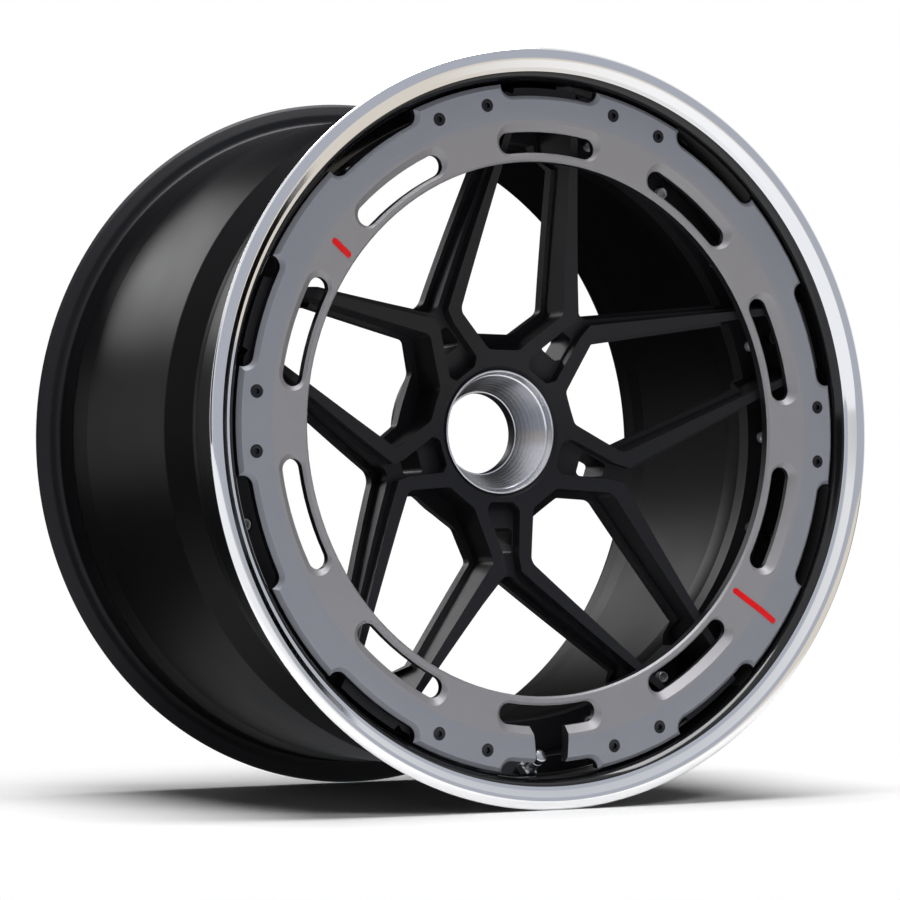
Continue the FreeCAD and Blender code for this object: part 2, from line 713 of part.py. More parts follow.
def spoke_line(near, far, inwards=0.0):
    """A spoke line in the spoke's own frame: its slope and where it meets the spoke's middle."""
    x0, z0 = to_spoke(near, n.near_station)
    x1, z1 = to_spoke(far, n.far_station)
    slope = (x1 - x0) / (z1 - z0)
    meeting = z0 - x0 / slope
    return -slope, meeting + inwards * math.hypot(1, slope) / abs(slope)


def front_depth(radius):
    """The depth of the spokes' conical face."""
    return n.hub_face_depth - n.face_slope * (radius - n.hub_edge_radius)


def wall_depth(radius):
    """The depth where the side walls flare out to the spoke's back."""
    return n.wall_depth - n.wall_slope * (radius - n.wall_station)


def window_tools(ears):
    """The narrow windows and the forks between them, wider in front of the flare than behind it."""
    far_out = n.loop_radius + 20
    spokes = even_angles(n.spoke_count)
    forks = even_angles(n.spoke_count, 180.0 / n.spoke_count)
    shoulder_half = station_point(n.window_near, n.window_far, n.window_shoulder)
    front_window = prism(mirrored_outline([
        (n.window_hub_half, n.window_hub_radius, n.window_corner * 0.75),
        (shoulder_half, n.window_shoulder, n.window_corner),
        (station_point(n.window_near, n.window_far, n.window_outer_radius), n.window_outer_radius, n.window_corner),
    ]))
    back_window = prism(mirrored_outline([
        (n.window_hub_half + n.window_corner, n.pad_radius + n.flare, n.window_corner * 0.75),
        (shoulder_half - n.flare, n.window_shoulder + n.flare, n.window_corner * 0.75),
        (station_point(n.window_near, n.window_far, far_out) - n.flare, far_out, 0.0),
    ]))
    slope, meeting = spoke_line(n.ledge_near, n.ledge_far)
    front_fork = prism([(0.0, meeting, n.fork_corner), (slope * (far_out - meeting), far_out, 0.0),
                        (-slope * (far_out - meeting), far_out, 0.0)])
    slope, meeting = spoke_line(n.ledge_near, n.ledge_far, n.flare)
    back_fork = prism([(0.0, meeting, n.fork_corner), (slope * (far_out - meeting), far_out, 0.0),
                       (-slope * (far_out - meeting), far_out, 0.0)])
    in_front = zone([(0, -50), (far_out + 50, -50), (far_out + 50, n.joint_depth), (n.foot_radius, n.joint_depth),
                     (n.arm_end_radius, wall_depth(n.arm_end_radius)), (0, wall_depth(0))])
    inside_joint = Part.makeCylinder(n.joint_inner_radius, 400, FreeCAD.Vector(0, -100, 0), AXIS)
    front = [shape.common(in_front) for shape in around(front_window, spokes) + around(front_fork, forks)]
    back = [shape.common(inside_joint) for shape in around(back_window, spokes) + around(back_fork, forks)]
    return [shape.cut(ears) for shape in front] + back


def spoke_recess():
    """The sunk middle of a split spoke: a pocket by the hub that runs out along both arms."""
    slope, meeting = spoke_line(n.band_near, n.band_far)
    far_out = n.loop_radius + 20
    outline = mirrored_outline([
        (n.pocket_half, n.pocket_radius, n.pocket_corner),
        (n.pocket_shoulder_half, n.pocket_shoulder, n.pocket_corner),
        (n.pocket_waist_half, n.pocket_waist, 0.0),
        (n.pocket_waist_half, meeting + n.pocket_waist_half / slope, 0.0),
        (slope * (far_out - meeting), far_out, 0.0),
    ])
    sunk = zone([(0, -50), (n.recess_reach, -50), (n.recess_reach, front_depth(n.recess_reach) + n.recess_depth),
                 (0, front_depth(0) + n.recess_depth)])
    start_half = n.pocket_shoulder_half - n.pocket_hole_rim
    start_half -= (n.pocket_shoulder_half - n.pocket_waist_half) * (
        (n.pocket_hole_start - n.pocket_shoulder) / (n.pocket_waist - n.pocket_shoulder))
    pocket_hole = prism(mirrored_outline([
        (start_half, n.pocket_hole_start, n.pocket_corner),
        (n.pocket_waist_half - n.pocket_hole_rim, n.pocket_hole_end, n.pocket_corner),
    ]))
    return [prism(outline).common(sunk), pocket_hole]


def make_spoke_centre():
    """The forged centre: hub, five split spokes that end in loops, the bolted flange and the ring's ears."""
    hub_bore = size["cone_radius"] + size["clearance"]
    nose_bore = size["cone_nose_radius"] + size["clearance"]
    flange_edge = size["well_wall_radius"] - size["clearance"]
    cone_seat = size["pad_depth"] - size["cone_seat"]
    arm_back_inner = size["wall_depth"] + size["arm_back"]
    arm_back_outer = arm_back_inner - size["wall_slope"] * (size["arm_end_radius"] - size["wall_station"])
    pad_back = arm_back_inner + size["wall_slope"] * (size["wall_station"] - size["pad_radius"])
    blank = turned_body("spoke_centre_blank", [
        (size["hub_edge_radius"], size["hub_face_depth"]),
        (size["face_end_radius"], ring_back),
        (size["loop_radius"], ring_back),
        (size["loop_radius"], size["step_depth"] - size["loop_gap"]),
        (flange_edge, size["step_depth"] + size["step_run"] / 2),
        (flange_edge, lip_joint),
        (size["joint_inner_radius"], lip_joint),
        (size["foot_radius"], size["joint_depth"] + size["centre_flange"] / 3),
        (size["arm_end_radius"], arm_back_outer),
        (size["wall_station"], arm_back_inner),
        (size["pad_radius"], pad_back),
        (size["pad_radius"], size["pad_depth"]),
        (nose_bore, size["pad_depth"]),
        (nose_bore, cone_seat),
        (hub_bore, cone_seat),
        (hub_bore, size["hub_face_depth"] + size["hub_chamfer"]),
    ])
    move_to_centre(blank)
    ear = arc_slot(n.screw_circle, n.ear_half_width, n.ear_half_angle, 0, ring_back.number + n.ear_thickness)
    loops = even_angles(n.spoke_count)
    ears = []
    for angle in EAR_ANGLES:
        nearest = min(loops + [360.0], key=lambda loop: abs(loop - angle))
        side = 1 if angle > nearest else -1
        ears.append(turned_about(ear, nearest + side * n.ear_angle))
    ears = ears[0].multiFuse(ears[1:])
    forks = even_angles(n.spoke_count, 180.0 / n.spoke_count)
    insert_hole_radius = n.screw_radius + n.insert_wall + 2 * n.clearance
    insert_hole = hole(insert_hole_radius, n.screw_circle, ring_back.number - 1, n.ear_thickness + 2)
    bolt_cut = hole(bolt_hole.number, n.bolt_circle, n.joint_depth - 1, n.centre_flange + 2)
    seat_cut = hole(n.bolt_seat_radius, n.bolt_circle, n.joint_depth - 1, n.bolt_seat_depth + 1)
    drive_radius = n.drive_pin_radius + n.drive_bush_wall + n.clearance
    drive_cut = hole(drive_radius, n.drive_circle, n.pad_depth - n.drive_hole_depth, n.drive_hole_depth + 1)
    tools = window_tools(ears)
    for tool in spoke_recess():
        tools += around(tool, forks)
    tools += around(insert_hole, screw_angles())
    tools += around(bolt_cut.fuse(seat_cut), bolt_angles)
    tools += around(drive_cut, even_angles(n.spoke_count))
    return cut_piece("spoke_centre", blank, tools)


def screw_angles():
    """The ring screws sit in pairs, one pair to an ear."""
    return [angle + side * n.screw_pair_angle for angle in EAR_ANGLES for side in (-1, 1)]


def accent_prism(end_radius, angle):
    """A round-ended bar that points at the axis."""
    half = n.accent_width / 2
    start = n.accent_inner_radius
    bar = prism([(half, start, half * 0.98), (half, end_radius, half * 0.98),
                 (-half, end_radius, half * 0.98), (-half, start, half * 0.98)])
    return turned_about(bar, angle)


def ring_face(radius):
    """The depth of the ring's face: flat outside the crease, dished inside it."""
    dish = n.ring_dish * (n.ring_crease_radius - radius) / (n.ring_crease_radius - n.ring_inner_radius)
    return n.ring_face_depth + max(0.0, dish)


def face_layer(rise, inset):
    """A thin layer that follows the ring's face."""
    inner, crease, outer = n.ring_inner_radius, n.ring_crease_radius, n.ring_outer_radius
    return zone([(inner, ring_face(inner) - rise), (crease, ring_face(crease) - rise),
                 (outer, ring_face(outer) - rise), (outer, ring_face(outer) + inset),
                 (crease, ring_face(crease) + inset), (inner, ring_face(inner) + inset)])


def make_aero_ring():
    """The slotted ring in front of the spokes, flat outside its crease and dished inside it."""
    face = size["ring_face_depth"]
    inner_face = face + size["ring_dish"]
    slope = size["ring_dish"] / (size["ring_crease_radius"] - size["ring_inner_radius"])
    blank = turned_body("aero_ring_blank", [
        (size["ring_crease_radius"], face),
        (size["ring_outer_radius"] - size["ring_edge_bevel"], face),
        (size["ring_outer_radius"], face + size["ring_edge_bevel"]),
        (size["ring_outer_radius"], ring_back),
        (size["ring_crease_radius"], ring_back),
        (size["ring_inner_radius"], inner_face + size["ring_inner_thickness"]),
        (size["ring_inner_radius"], inner_face + size["ring_inner_bevel"]),
        (size["ring_inner_radius"] + size["ring_inner_bevel"], inner_face - slope * size["ring_inner_bevel"]),
    ])
    move_to_centre(blank)
    deep_back = ring_face(n.ring_inner_radius) + n.ring_inner_thickness
    slot_face = ring_face(n.slot_circle)
    slot = bevelled_slot(n.slot_circle, n.slot_half_width, n.slot_half_angle, n.slot_bevel, slot_face, deep_back)
    notch = bevelled_slot(n.notch_floor + n.notch_half_width, n.notch_half_width, n.notch_half_angle,
                          n.notch_bevel, n.ring_face_depth, ring_back.number + 1)
    valve_cut = prism([(n.valve_cut_inner_half, n.slot_circle, 0.0), (n.valve_cut_outer_half, n.notch_floor + 4, 0.0),
                       (-n.valve_cut_outer_half, n.notch_floor + 4, 0.0),
                       (-n.valve_cut_inner_half, n.slot_circle, 0.0)])
    head_radius = n.screw_head_radius + n.clearance
    hole_radius = n.screw_radius + n.clearance
    sink_depth = head_radius - hole_radius
    seat = Part.makeCone(head_radius, hole_radius, sink_depth,
                         FreeCAD.Vector(0, n.ring_face_depth, n.screw_circle), AXIS)
    seat = seat.fuse(hole(hole_radius, n.screw_circle, n.ring_face_depth, n.ring_thickness + 1))
    layer = face_layer(1.0, n.accent_inset)
    tools = around(slot, even_angles(n.slot_count)) + around(notch, even_angles(n.slot_count))
    tools += [turned_about(valve_cut, 180.0)]
    tools += around(seat, screw_angles())
    tools += [bar.common(layer) for bar in accent_bars()]
    return cut_piece("aero_ring", blank, tools)


def accent_bars():
    return [accent_prism(n.accent_long_end, n.accent_angle), accent_prism(n.accent_short_end, n.accent_angle + 180.0)]


def make_accents():
    """The two red inlays in the ring."""
    layer = face_layer(n.accent_rise, n.accent_inset)
    names = ("accent_bar_long", "accent_bar_short")
    return [coded_piece(name, bar.common(layer)) for name, bar in zip(names, accent_bars())]


def make_ring_hardware():
    """The ring's countersunk screws and the threaded inserts that they go into."""
    face = size["ring_face_depth"]
    head = size["screw_head_radius"]
    shank = size["screw_radius"]
    screw = turned_body("screw_pattern", [
        (ON_AXIS, face),
        (head, face),
        (shank, face + head - shank),
        (shank, face + size["screw_length"]),
        (ON_AXIS, face + size["screw_length"]),
    ])
    hex_pocket(screw, size["screw_socket"], face, size["screw_socket_depth"])
    insert_inner = shank + size["clearance"]
    insert_outer = insert_inner + size["insert_wall"]
    insert = turned_body("insert_pattern", [
        (insert_inner, ring_back),
        (insert_outer, ring_back),
        (insert_outer, ring_back + size["ear_thickness"]),
        (insert_inner, ring_back + size["ear_thickness"]),
    ])
    groups = []
    for name, pattern in (("ring_screws", screw), ("ring_inserts", insert)):
        placed = pattern.Shape.copy()
        placed.translate(FreeCAD.Vector(0, 0, n.screw_circle))
        groups.append(coded_piece(name, Part.makeCompound(around(placed, screw_angles()))))
    return groups


def make_centre_lock_cone():
    """The turned insert that the centre-lock nut bears on, seated on a lip at the back of the hub."""
    mouth_depth = size["hub_face_depth"] + size["cone_inset"]
    taper = (size["cone_mouth_radius"] - size["cone_throat_radius"]) / (size["cone_throat_depth"] - mouth_depth)
    groove_depth = mouth_depth + size["cone_seat"]
    groove_radius = size["cone_mouth_radius"] - taper * size["cone_seat"]
    after_groove = groove_depth + size["cone_groove"] * 2
    cone = turned_body("centre_lock_cone", [
        (size["cone_radius"], mouth_depth),
        (size["cone_radius"], size["pad_depth"] - size["cone_seat"]),
        (size["cone_nose_radius"], size["pad_depth"] - size["cone_seat"]),
        (size["cone_nose_radius"], size["pad_depth"]),
        (size["cone_bore_radius"], size["pad_depth"]),
        (size["cone_bore_radius"], size["cone_throat_depth"]),
        (size["cone_throat_radius"], size["cone_throat_depth"]),
        (size["cone_mouth_radius"] - taper * (after_groove - mouth_depth), after_groove),
        (groove_radius + size["cone_groove"], groove_depth + size["cone_groove"]),
        (groove_radius, groove_depth),
        (size["cone_mouth_radius"], mouth_depth),
    ])
    move_to_centre(cone)
    return cone


def make_drive_pin_bushes():
    """Steel bushes in the hub's rear face for the drive pins of the axle."""
    start = size["pad_depth"] - size["drive_hole_depth"]
    outer = size["drive_pin_radius"] + size["drive_bush_wall"]
    bush = turned_body("bush_pattern", [
        (size["drive_pin_radius"], start),
        (outer, start),
        (outer, size["pad_depth"]),
        (size["drive_pin_radius"], size["pad_depth"]),
    ])
    placed = bush.Shape.copy()
    placed.translate(FreeCAD.Vector(0, 0, n.drive_circle))
    return coded_piece("drive_pin_bushes", Part.makeCompound(around(placed, even_angles(n.spoke_count))))


def place_valve(body):
    """Stand a valve piece on the step of the lip, at the bottom of the wheel."""
    frame = valve_frame()
    frame.Base = frame.Base + FreeCAD.Vector(0, -half_width.number, 0)
    body.Placement = frame
    return body


def make_valve():
    """The clamp-in valve: stem with its foot inside the tyre, seal, hexagon nut, core and cap."""
    foot_start = valve_outer_seat + size["valve_seal_height"]
    foot_end = foot_start + size["valve_foot_height"]
    stem_start = size["valve_cap_wall"] + size["clearance"]
    bore = size["valve_bore_radius"]
    sleeve = size["valve_radius"] + size["clearance"]
    stem = turned_body("valve_stem", [
        (bore, stem_start),
        (size["valve_radius"], stem_start),
        (size["valve_radius"], foot_start),
        (size["valve_foot_radius"], foot_start),
        (size["valve_foot_radius"], foot_end),
        (bore, foot_end),
    ])
    cap = turned_body("valve_cap", [
        (ON_AXIS, FRONT_EDGE),
        (size["valve_cap_radius"] - size["valve_cap_wall"] / 2, FRONT_EDGE),
        (size["valve_cap_radius"], size["valve_cap_wall"] / 2),
        (size["valve_cap_radius"], size["valve_cap_length"]),
        (sleeve, size["valve_cap_length"]),
        (sleeve, size["valve_cap_wall"]),
        (ON_AXIS, size["valve_cap_wall"]),
    ])
    core = turned_body("valve_core", [
        (ON_AXIS, stem_start),
        (bore - size["clearance"], stem_start),
        (bore - size["clearance"], stem_start + size["valve_core_length"]),
        (ON_AXIS, stem_start + size["valve_core_length"]),
    ])
    seal = turned_body("valve_seal", [
        (sleeve, valve_outer_seat),
        (size["valve_foot_radius"], valve_outer_seat),
        (size["valve_foot_radius"], foot_start),
        (sleeve, foot_start),
    ])
    nut_start = valve_inner_seat - size["valve_nut_height"]
    nut_blank = Part.Face(Part.makePolygon([
        FreeCAD.Vector(n.valve_nut_radius * math.cos(math.radians(60 * k)), nut_start.number,
                       n.valve_nut_radius * math.sin(math.radians(60 * k))) for k in range(7)]))
    nut_solid = nut_blank.extrude(FreeCAD.Vector(0, n.valve_nut_height, 0))
    nut_solid = nut_solid.cut(Part.makeCylinder(sleeve.number, n.valve_nut_height + 2,
                                                FreeCAD.Vector(0, nut_start.number - 1, 0), AXIS))
    nut = doc.addObject("Part::Feature", "valve_nut")
    nut.Label = "valve_nut"
    nut.Shape = nut_solid
    return [place_valve(piece) for piece in (stem, cap, core, seal, nut)]


pieces = [make_outer_lip(), make_inner_barrel(), make_rim_seal(), make_spoke_centre(), make_centre_lock_cone(),
          make_drive_pin_bushes(), make_aero_ring()]
pieces += make_accents()
pieces += make_ring_hardware()
pieces += make_assembly_hardware()
pieces += make_valve()
doc.recompute()

for item in doc.Objects:
    if "Invalid" in item.State or "Error" in item.State:
        raise ValueError(item.Label + " failed")
for piece in pieces:
    if piece.Shape.isNull() or not piece.Shape.isValid():
        raise ValueError(piece.Label + " has no valid shape")

os.makedirs("parts", exist_ok=True)
for piece in pieces:
    piece.Shape.exportStep("parts/" + piece.Label + ".step")
    print(piece.Label, len(piece.Shape.Solids), round(piece.Shape.Volume / 1000.0, 2))
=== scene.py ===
"""A forged centre-lock wheel with a polished lip, dressed on its CAD solids, on a pale studio floor."""

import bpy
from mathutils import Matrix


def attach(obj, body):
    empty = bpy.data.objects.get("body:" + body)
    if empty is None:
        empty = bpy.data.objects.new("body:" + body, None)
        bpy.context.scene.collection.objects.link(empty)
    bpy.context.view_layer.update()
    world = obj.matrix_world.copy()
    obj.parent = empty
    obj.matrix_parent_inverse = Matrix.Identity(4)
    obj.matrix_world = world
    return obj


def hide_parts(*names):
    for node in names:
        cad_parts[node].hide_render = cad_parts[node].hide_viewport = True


bl_info = {
    "name": "Forged Wheel",
    "version": (1, 0, 0),
    "blender": (4, 5, 0),
    "location": "3D View > Sidebar > Wheel",
    "description": "Builds the dressed pieces of a three-piece forged wheel and its studio",
    "category": "Object",
}

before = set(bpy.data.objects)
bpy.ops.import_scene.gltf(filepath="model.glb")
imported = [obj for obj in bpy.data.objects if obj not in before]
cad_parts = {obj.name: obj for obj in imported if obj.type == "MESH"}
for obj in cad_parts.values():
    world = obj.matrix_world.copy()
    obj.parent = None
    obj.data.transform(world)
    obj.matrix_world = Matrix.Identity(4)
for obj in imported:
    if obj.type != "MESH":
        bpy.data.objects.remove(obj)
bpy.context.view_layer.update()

import math

import bmesh
import bpy
from bpy.props import FloatProperty, FloatVectorProperty, IntProperty, PointerProperty
from mathutils import Matrix, Vector

# Profiles are in millimetres, as on a drawing: radius from the axis, depth from the lip's front edge
MM = 0.001
WIDTH = 320.0
HALF_WIDTH = WIDTH / 2

RIM_SEGMENTS = 288
CONE_SEGMENTS = 192
VALVE_SEGMENTS = 96
BOLT_SEGMENTS = 48
WASHER_SEGMENTS = 40
INSERT_SEGMENTS = 32
GRUB_SEGMENTS = 24

# Edges that turn more than the sharp angles stay crisp, and corners nearer than the merge distances are one
LATHE_SHARP = math.radians(32)
MILLED_SHARP = math.radians(25)
FLAT_ANGLE = math.radians(0.2)
LATHE_MERGE = 1e-7
CAD_MERGE = 2e-6
# A corner with half an angle above this is straight, and a round takes up no more than this share of a side
STRAIGHT = math.radians(89.5)
SIDE_SHARE = 0.48

# Sizes of the patterns in the finishes. A pixel of the picture covers about 0.7 mm, so the finest patterns
# are drawn coarser than the real ones, which would be lost or would shimmer.
POLISH_MARKS = 1.4 * MM  # drawn coarser: real buffing marks lie well under 0.1 mm apart
FLECK = 0.5 * MM  # drawn coarser: the real grain of a coat or a blasted plate is about 0.1 mm
TURN_PITCH = 1.5 * MM  # drawn coarser: real tool marks on the cone lie about 0.2 mm apart
VALVE_PITCH = 0.6 * MM  # drawn coarser: real tool marks on the valve lie about 0.1 mm apart
SMEARS = 28 * MM
CLOUDS = 45 * MM
ENAMEL_POOLS = 6 * MM
RUBBED_SPOTS = 3 * MM
DUST = 2 * MM
# The angle in radians through which a wave texture of scale 1 goes in one metre
WAVE_TURN = 20
# Where the two facing cuts of the slotted ring meet, and where the ring's painted reflection tint changes
BAND_START = 220.8 * MM
BAND_END = 221.2 * MM

# The Mix node's sockets for colours, which share their names with its sockets for numbers
MIX_A, MIX_B, MIX_OUT = 6, 7, 2


def linear(hex_colour):
    """A hex sRGB colour as linear red, green, blue and a full alpha."""
    channels = [int(hex_colour[i:i + 2], 16) / 255 for i in (1, 3, 5)]
    return [c / 12.92 if c <= 0.04045 else ((c + 0.055) / 1.055) ** 2.4 for c in channels] + [1.0]


def colour(name, description, hex_colour):
    """A colour property."""
    return FloatVectorProperty(name=name, description=description, subtype="COLOR", size=4, min=0, max=1,
                               default=linear(hex_colour))


class WheelSizes(bpy.types.PropertyGroup):
    bolt_count: IntProperty(name="Assembly bolts", description="Bolts through the three flanges",
                            default=20, min=3)
    grub_count: IntProperty(name="Grub screws", description="Small screws in the barrel's flange",
                            default=40, min=4)
    bolt_circle: FloatProperty(name="Bolt circle", description="Radius of the circle of assembly bolts",
                               default=225 * MM, unit="LENGTH")
    screw_circle: FloatProperty(name="Screw circle", description="Radius of the circle of ring screws",
                                default=234 * MM, unit="LENGTH")
    edge_round: FloatProperty(name="Edge round", description="Softening of the milled edges",
                              default=0.7 * MM, unit="LENGTH")
    turn_pitch: FloatProperty(name="Turning pitch", description="Spacing of the tool marks on turned metal",
                              default=TURN_PITCH, unit="LENGTH")
    floor_height: FloatProperty(name="Floor", description="Height of the studio floor",
                                default=-271.5 * MM, unit="LENGTH")


class WheelColours(bpy.types.PropertyGroup):
    polished: colour("Polished alloy", "The mirror-polished lip", "#F4F4F5")
    black: colour("Satin black", "Coating of the spokes and the barrel", "#202023")
    grey: colour("Satin grey", "Coating of the slotted ring", "#8F8F94")
    red: colour("Red enamel", "The two inlays in the ring", "#DC1418")
    steel: colour("Turned steel", "The centre-lock cone and the bushes", "#E6E6EA")
    bright: colour("Bright steel", "Bolts, nuts, washers and the valve", "#D2D3D6")
    oxide: colour("Black oxide", "The ring's countersunk screws", "#3A3A3E")
    brass: colour("Brass", "The valve's core", "#C8A050")
    rubber: colour("Rubber", "The seals", "#1A1A1A")
    floor: colour("Floor", "The studio floor", "#F7F7F7")


def sizes():
    return bpy.context.scene.wheel_sizes


def colours():
    return bpy.context.scene.wheel_colours


def add_node(tree, kind, inputs=None, **settings):
    """Add a node, set its fields, and set or link its inputs."""
    made = tree.nodes.new(kind)
    for field, setting in settings.items():
        setattr(made, field, setting)
    for socket, given in (inputs or {}).items():
        if isinstance(given, bpy.types.NodeSocket):
            tree.links.new(given, made.inputs[socket])
        else:
            made.inputs[socket].default_value = given
    return made


def new_material(name):
    """A material with an empty Principled shader: the material, its tree and its shader."""
    made = bpy.data.materials.new(name)
    made.use_nodes = True
    tree = made.node_tree
    tree.nodes.clear()
    shader = add_node(tree, "ShaderNodeBsdfPrincipled")
    add_node(tree, "ShaderNodeOutputMaterial", {"Surface": shader.outputs["BSDF"]})
    return made, tree, shader


def shaded(base, amount):
    """A colour made lighter or darker."""
    return [channel * amount for channel in base[:3]] + [1.0]


def wave_scale(pitch):
    """The scale at which a wave texture repeats once in the pitch."""
    return 2 * math.pi / (WAVE_TURN * pitch)


def polished_aluminium():
    # Buffed forged aluminium: a clear mirror with a faint haze of wheel marks that run round the axis
    made, tree, shader = new_material("polished_aluminium")
    place = add_node(tree, "ShaderNodeTexCoord").outputs["Object"]
    marks = add_node(tree, "ShaderNodeTexWave",
                     {"Vector": place, "Scale": wave_scale(POLISH_MARKS), "Distortion": 1.2, "Detail": 2.0},
                     wave_type="RINGS", rings_direction="Y")
    smears = add_node(tree, "ShaderNodeTexNoise", {"Vector": place, "Scale": 1 / SMEARS, "Detail": 3.0})
    haze = add_node(tree, "ShaderNodeMapRange",
                    {"Value": smears.outputs["Fac"], "To Min": 0.045, "To Max": 0.10})
    bump = add_node(tree, "ShaderNodeBump",
                    {"Height": marks.outputs["Fac"], "Strength": 0.05, "Distance": 0.01 * MM})
    shader.inputs["Base Color"].default_value = colours().polished
    shader.inputs["Metallic"].default_value = 1.0
    tree.links.new(haze.outputs["Result"], shader.inputs["Roughness"])
    tree.links.new(bump.outputs["Normal"], shader.inputs["Normal"])
    return made


def satin_coat(name, base, metallic, roughness, grain_mm, variation):
    """A sprayed satin coat: fine orange peel in the bump, soft changes of tone and gloss, and lighter flecks of
    grain that are partly painted glints.
    """
    made, tree, shader = new_material(name)
    place = add_node(tree, "ShaderNodeTexCoord").outputs["Object"]
    peel = add_node(tree, "ShaderNodeTexNoise", {"Vector": place, "Scale": 1 / (grain_mm * MM), "Detail": 3.0})
    cloud = add_node(tree, "ShaderNodeTexNoise", {"Vector": place, "Scale": 1 / CLOUDS, "Detail": 2.0})
    fleck = add_node(tree, "ShaderNodeTexNoise", {"Vector": place, "Scale": 1 / FLECK, "Detail": 1.0})
    tone = add_node(tree, "ShaderNodeMix",
                    {0: cloud.outputs["Fac"], MIX_A: shaded(base, 1 - variation),
                     MIX_B: shaded(base, 1 + variation)}, data_type="RGBA")
    # Lighter flecks in the colour: the grain of the coat, drawn lighter than the coat as painted glints
    glint = add_node(tree, "ShaderNodeMapRange", {"Value": fleck.outputs["Fac"], "To Min": 0.0, "To Max": 0.35})
    sparkle = add_node(tree, "ShaderNodeMix",
                       {0: glint.outputs["Result"], MIX_A: tone.outputs[MIX_OUT], MIX_B: shaded(base, 1.5)},
                       data_type="RGBA")
    gloss = add_node(tree, "ShaderNodeMapRange",
                     {"Value": cloud.outputs["Fac"], "To Min": roughness - 0.04, "To Max": roughness + 0.04})
    bump = add_node(tree, "ShaderNodeBump",
                    {"Height": peel.outputs["Fac"], "Strength": 0.25, "Distance": 0.02 * MM})
    shader.inputs["Metallic"].default_value = metallic
    tree.links.new(sparkle.outputs[MIX_OUT], shader.inputs["Base Color"])
    tree.links.new(gloss.outputs["Result"], shader.inputs["Roughness"])
    tree.links.new(bump.outputs["Normal"], shader.inputs["Normal"])
    return made, shader


def satin_black():
    # Satin black powder coat on alloy: charcoal in the light, soft broad highlights, no mirror
    made, shader = satin_coat("satin_black_coat", colours().black, 0.2, 0.4, 0.9, 0.08)
    shader.inputs["Specular IOR Level"].default_value = 0.2
    return made


def barrel_black():
    # The barrel's satin black is a little smoother, so the studio shows in it as long soft bands; its colour is
    # the spokes' black darkened to 0.3, as painted shade
    made, shader = satin_coat("barrel_black_coat", shaded(colours().black, 0.3), 0.0, 0.36, 1.2, 0.06)
    shader.inputs["Specular IOR Level"].default_value = 0.08
    return made


def painted_dark_reflection():
    # Painted dark reflection: the polished inner wall of the lip is given a gloss black, darkened to 0.35 of the
    # spokes' black; it shows the spokes and the ring as thin dark reflections
    made, shader = satin_coat("painted_dark_reflection_coat", shaded(colours().black, 0.35), 0.0, 0.09, 2.0, 0.05)
    shader.inputs["Specular IOR Level"].default_value = 0.45
    return made


def satin_grey():
    # Grey anodised plate, bead blasted before the dye: an even grey with a fine grain.
    # The plate was faced in two cuts, and its colour is tinted warm on the inner cut and cool on the outer one,
    # a painted reflection of the warmer and the cooler sides of the room.
    made, shader = satin_coat("satin_grey_anodised", colours().grey, 0.4, 0.46, 0.6, 0.03)
    tree = made.node_tree
    place = add_node(tree, "ShaderNodeTexCoord").outputs["Object"]
    across = add_node(tree, "ShaderNodeVectorMath", {0: place, 1: (1, 0, 1)}, operation="MULTIPLY")
    radius = add_node(tree, "ShaderNodeVectorMath", {0: across.outputs["Vector"]}, operation="LENGTH")
    band = add_node(tree, "ShaderNodeMapRange",
                    {"Value": radius.outputs["Value"], "From Min": BAND_START, "From Max": BAND_END})
    # Painted reflection: a warm tint inside the band and a cool tint outside it
    painted_room_tint = add_node(tree, "ShaderNodeMix",
                    {0: band.outputs["Result"], MIX_A: linear("#FFFCF9"), MIX_B: linear("#F6F9FF")},
                    data_type="RGBA")
    dyed = shader.inputs["Base Color"].links[0].from_socket
    toned = add_node(tree, "ShaderNodeMix", {0: 1.0, MIX_A: dyed, MIX_B: painted_room_tint.outputs[MIX_OUT]},
                     data_type="RGBA", blend_type="MULTIPLY")
    tree.links.new(toned.outputs[MIX_OUT], shader.inputs["Base Color"])
    return made


def red_enamel():
    # Poured enamel in a milled pocket: an even red that pools a little darker, under a thin gloss
    made, tree, shader = new_material("red_enamel")
    place = add_node(tree, "ShaderNodeTexCoord").outputs["Object"]
    pool = add_node(tree, "ShaderNodeTexNoise", {"Vector": place, "Scale": 1 / ENAMEL_POOLS, "Detail": 2.0})
    tone = add_node(tree, "ShaderNodeMix",
                    {0: pool.outputs["Fac"], MIX_A: shaded(colours().red, 0.85),
                     MIX_B: shaded(colours().red, 1.1)}, data_type="RGBA")
    tree.links.new(tone.outputs[MIX_OUT], shader.inputs["Base Color"])
    shader.inputs["Roughness"].default_value = 0.3
    shader.inputs["Specular IOR Level"].default_value = 0.2
    shader.inputs["Coat Weight"].default_value = 0.15
    shader.inputs["Coat Roughness"].default_value = 0.08
    return made


def turned_metal(name, base, roughness, pitch):
    """Metal straight from the lathe: fine rings that draw each highlight out into a wedge across them."""
    made, tree, shader = new_material(name)
    place = add_node(tree, "ShaderNodeTexCoord").outputs["Object"]
    rings = add_node(tree, "ShaderNodeTexWave",
                     {"Vector": place, "Scale": wave_scale(pitch), "Distortion": 0.0},
                     wave_type="RINGS", rings_direction="Y")
    tone = add_node(tree, "ShaderNodeMix",
                    {0: rings.outputs["Fac"], MIX_A: shaded(base, 0.94), MIX_B: shaded(base, 1.02)},
                    data_type="RGBA")
    gloss = add_node(tree, "ShaderNodeMapRange",
                     {"Value": rings.outputs["Fac"], "To Min": roughness - 0.02, "To Max": roughness + 0.02})
    along = add_node(tree, "ShaderNodeTangent", direction_type="RADIAL", axis="Y")
    shader.inputs["Metallic"].default_value = 1.0
    shader.inputs["Anisotropic"].default_value = 0.85
    shader.inputs["Anisotropic Rotation"].default_value = 0.25
    tree.links.new(tone.outputs[MIX_OUT], shader.inputs["Base Color"])
    tree.links.new(gloss.outputs["Result"], shader.inputs["Roughness"])
    tree.links.new(along.outputs["Tangent"], shader.inputs["Tangent"])
    return made


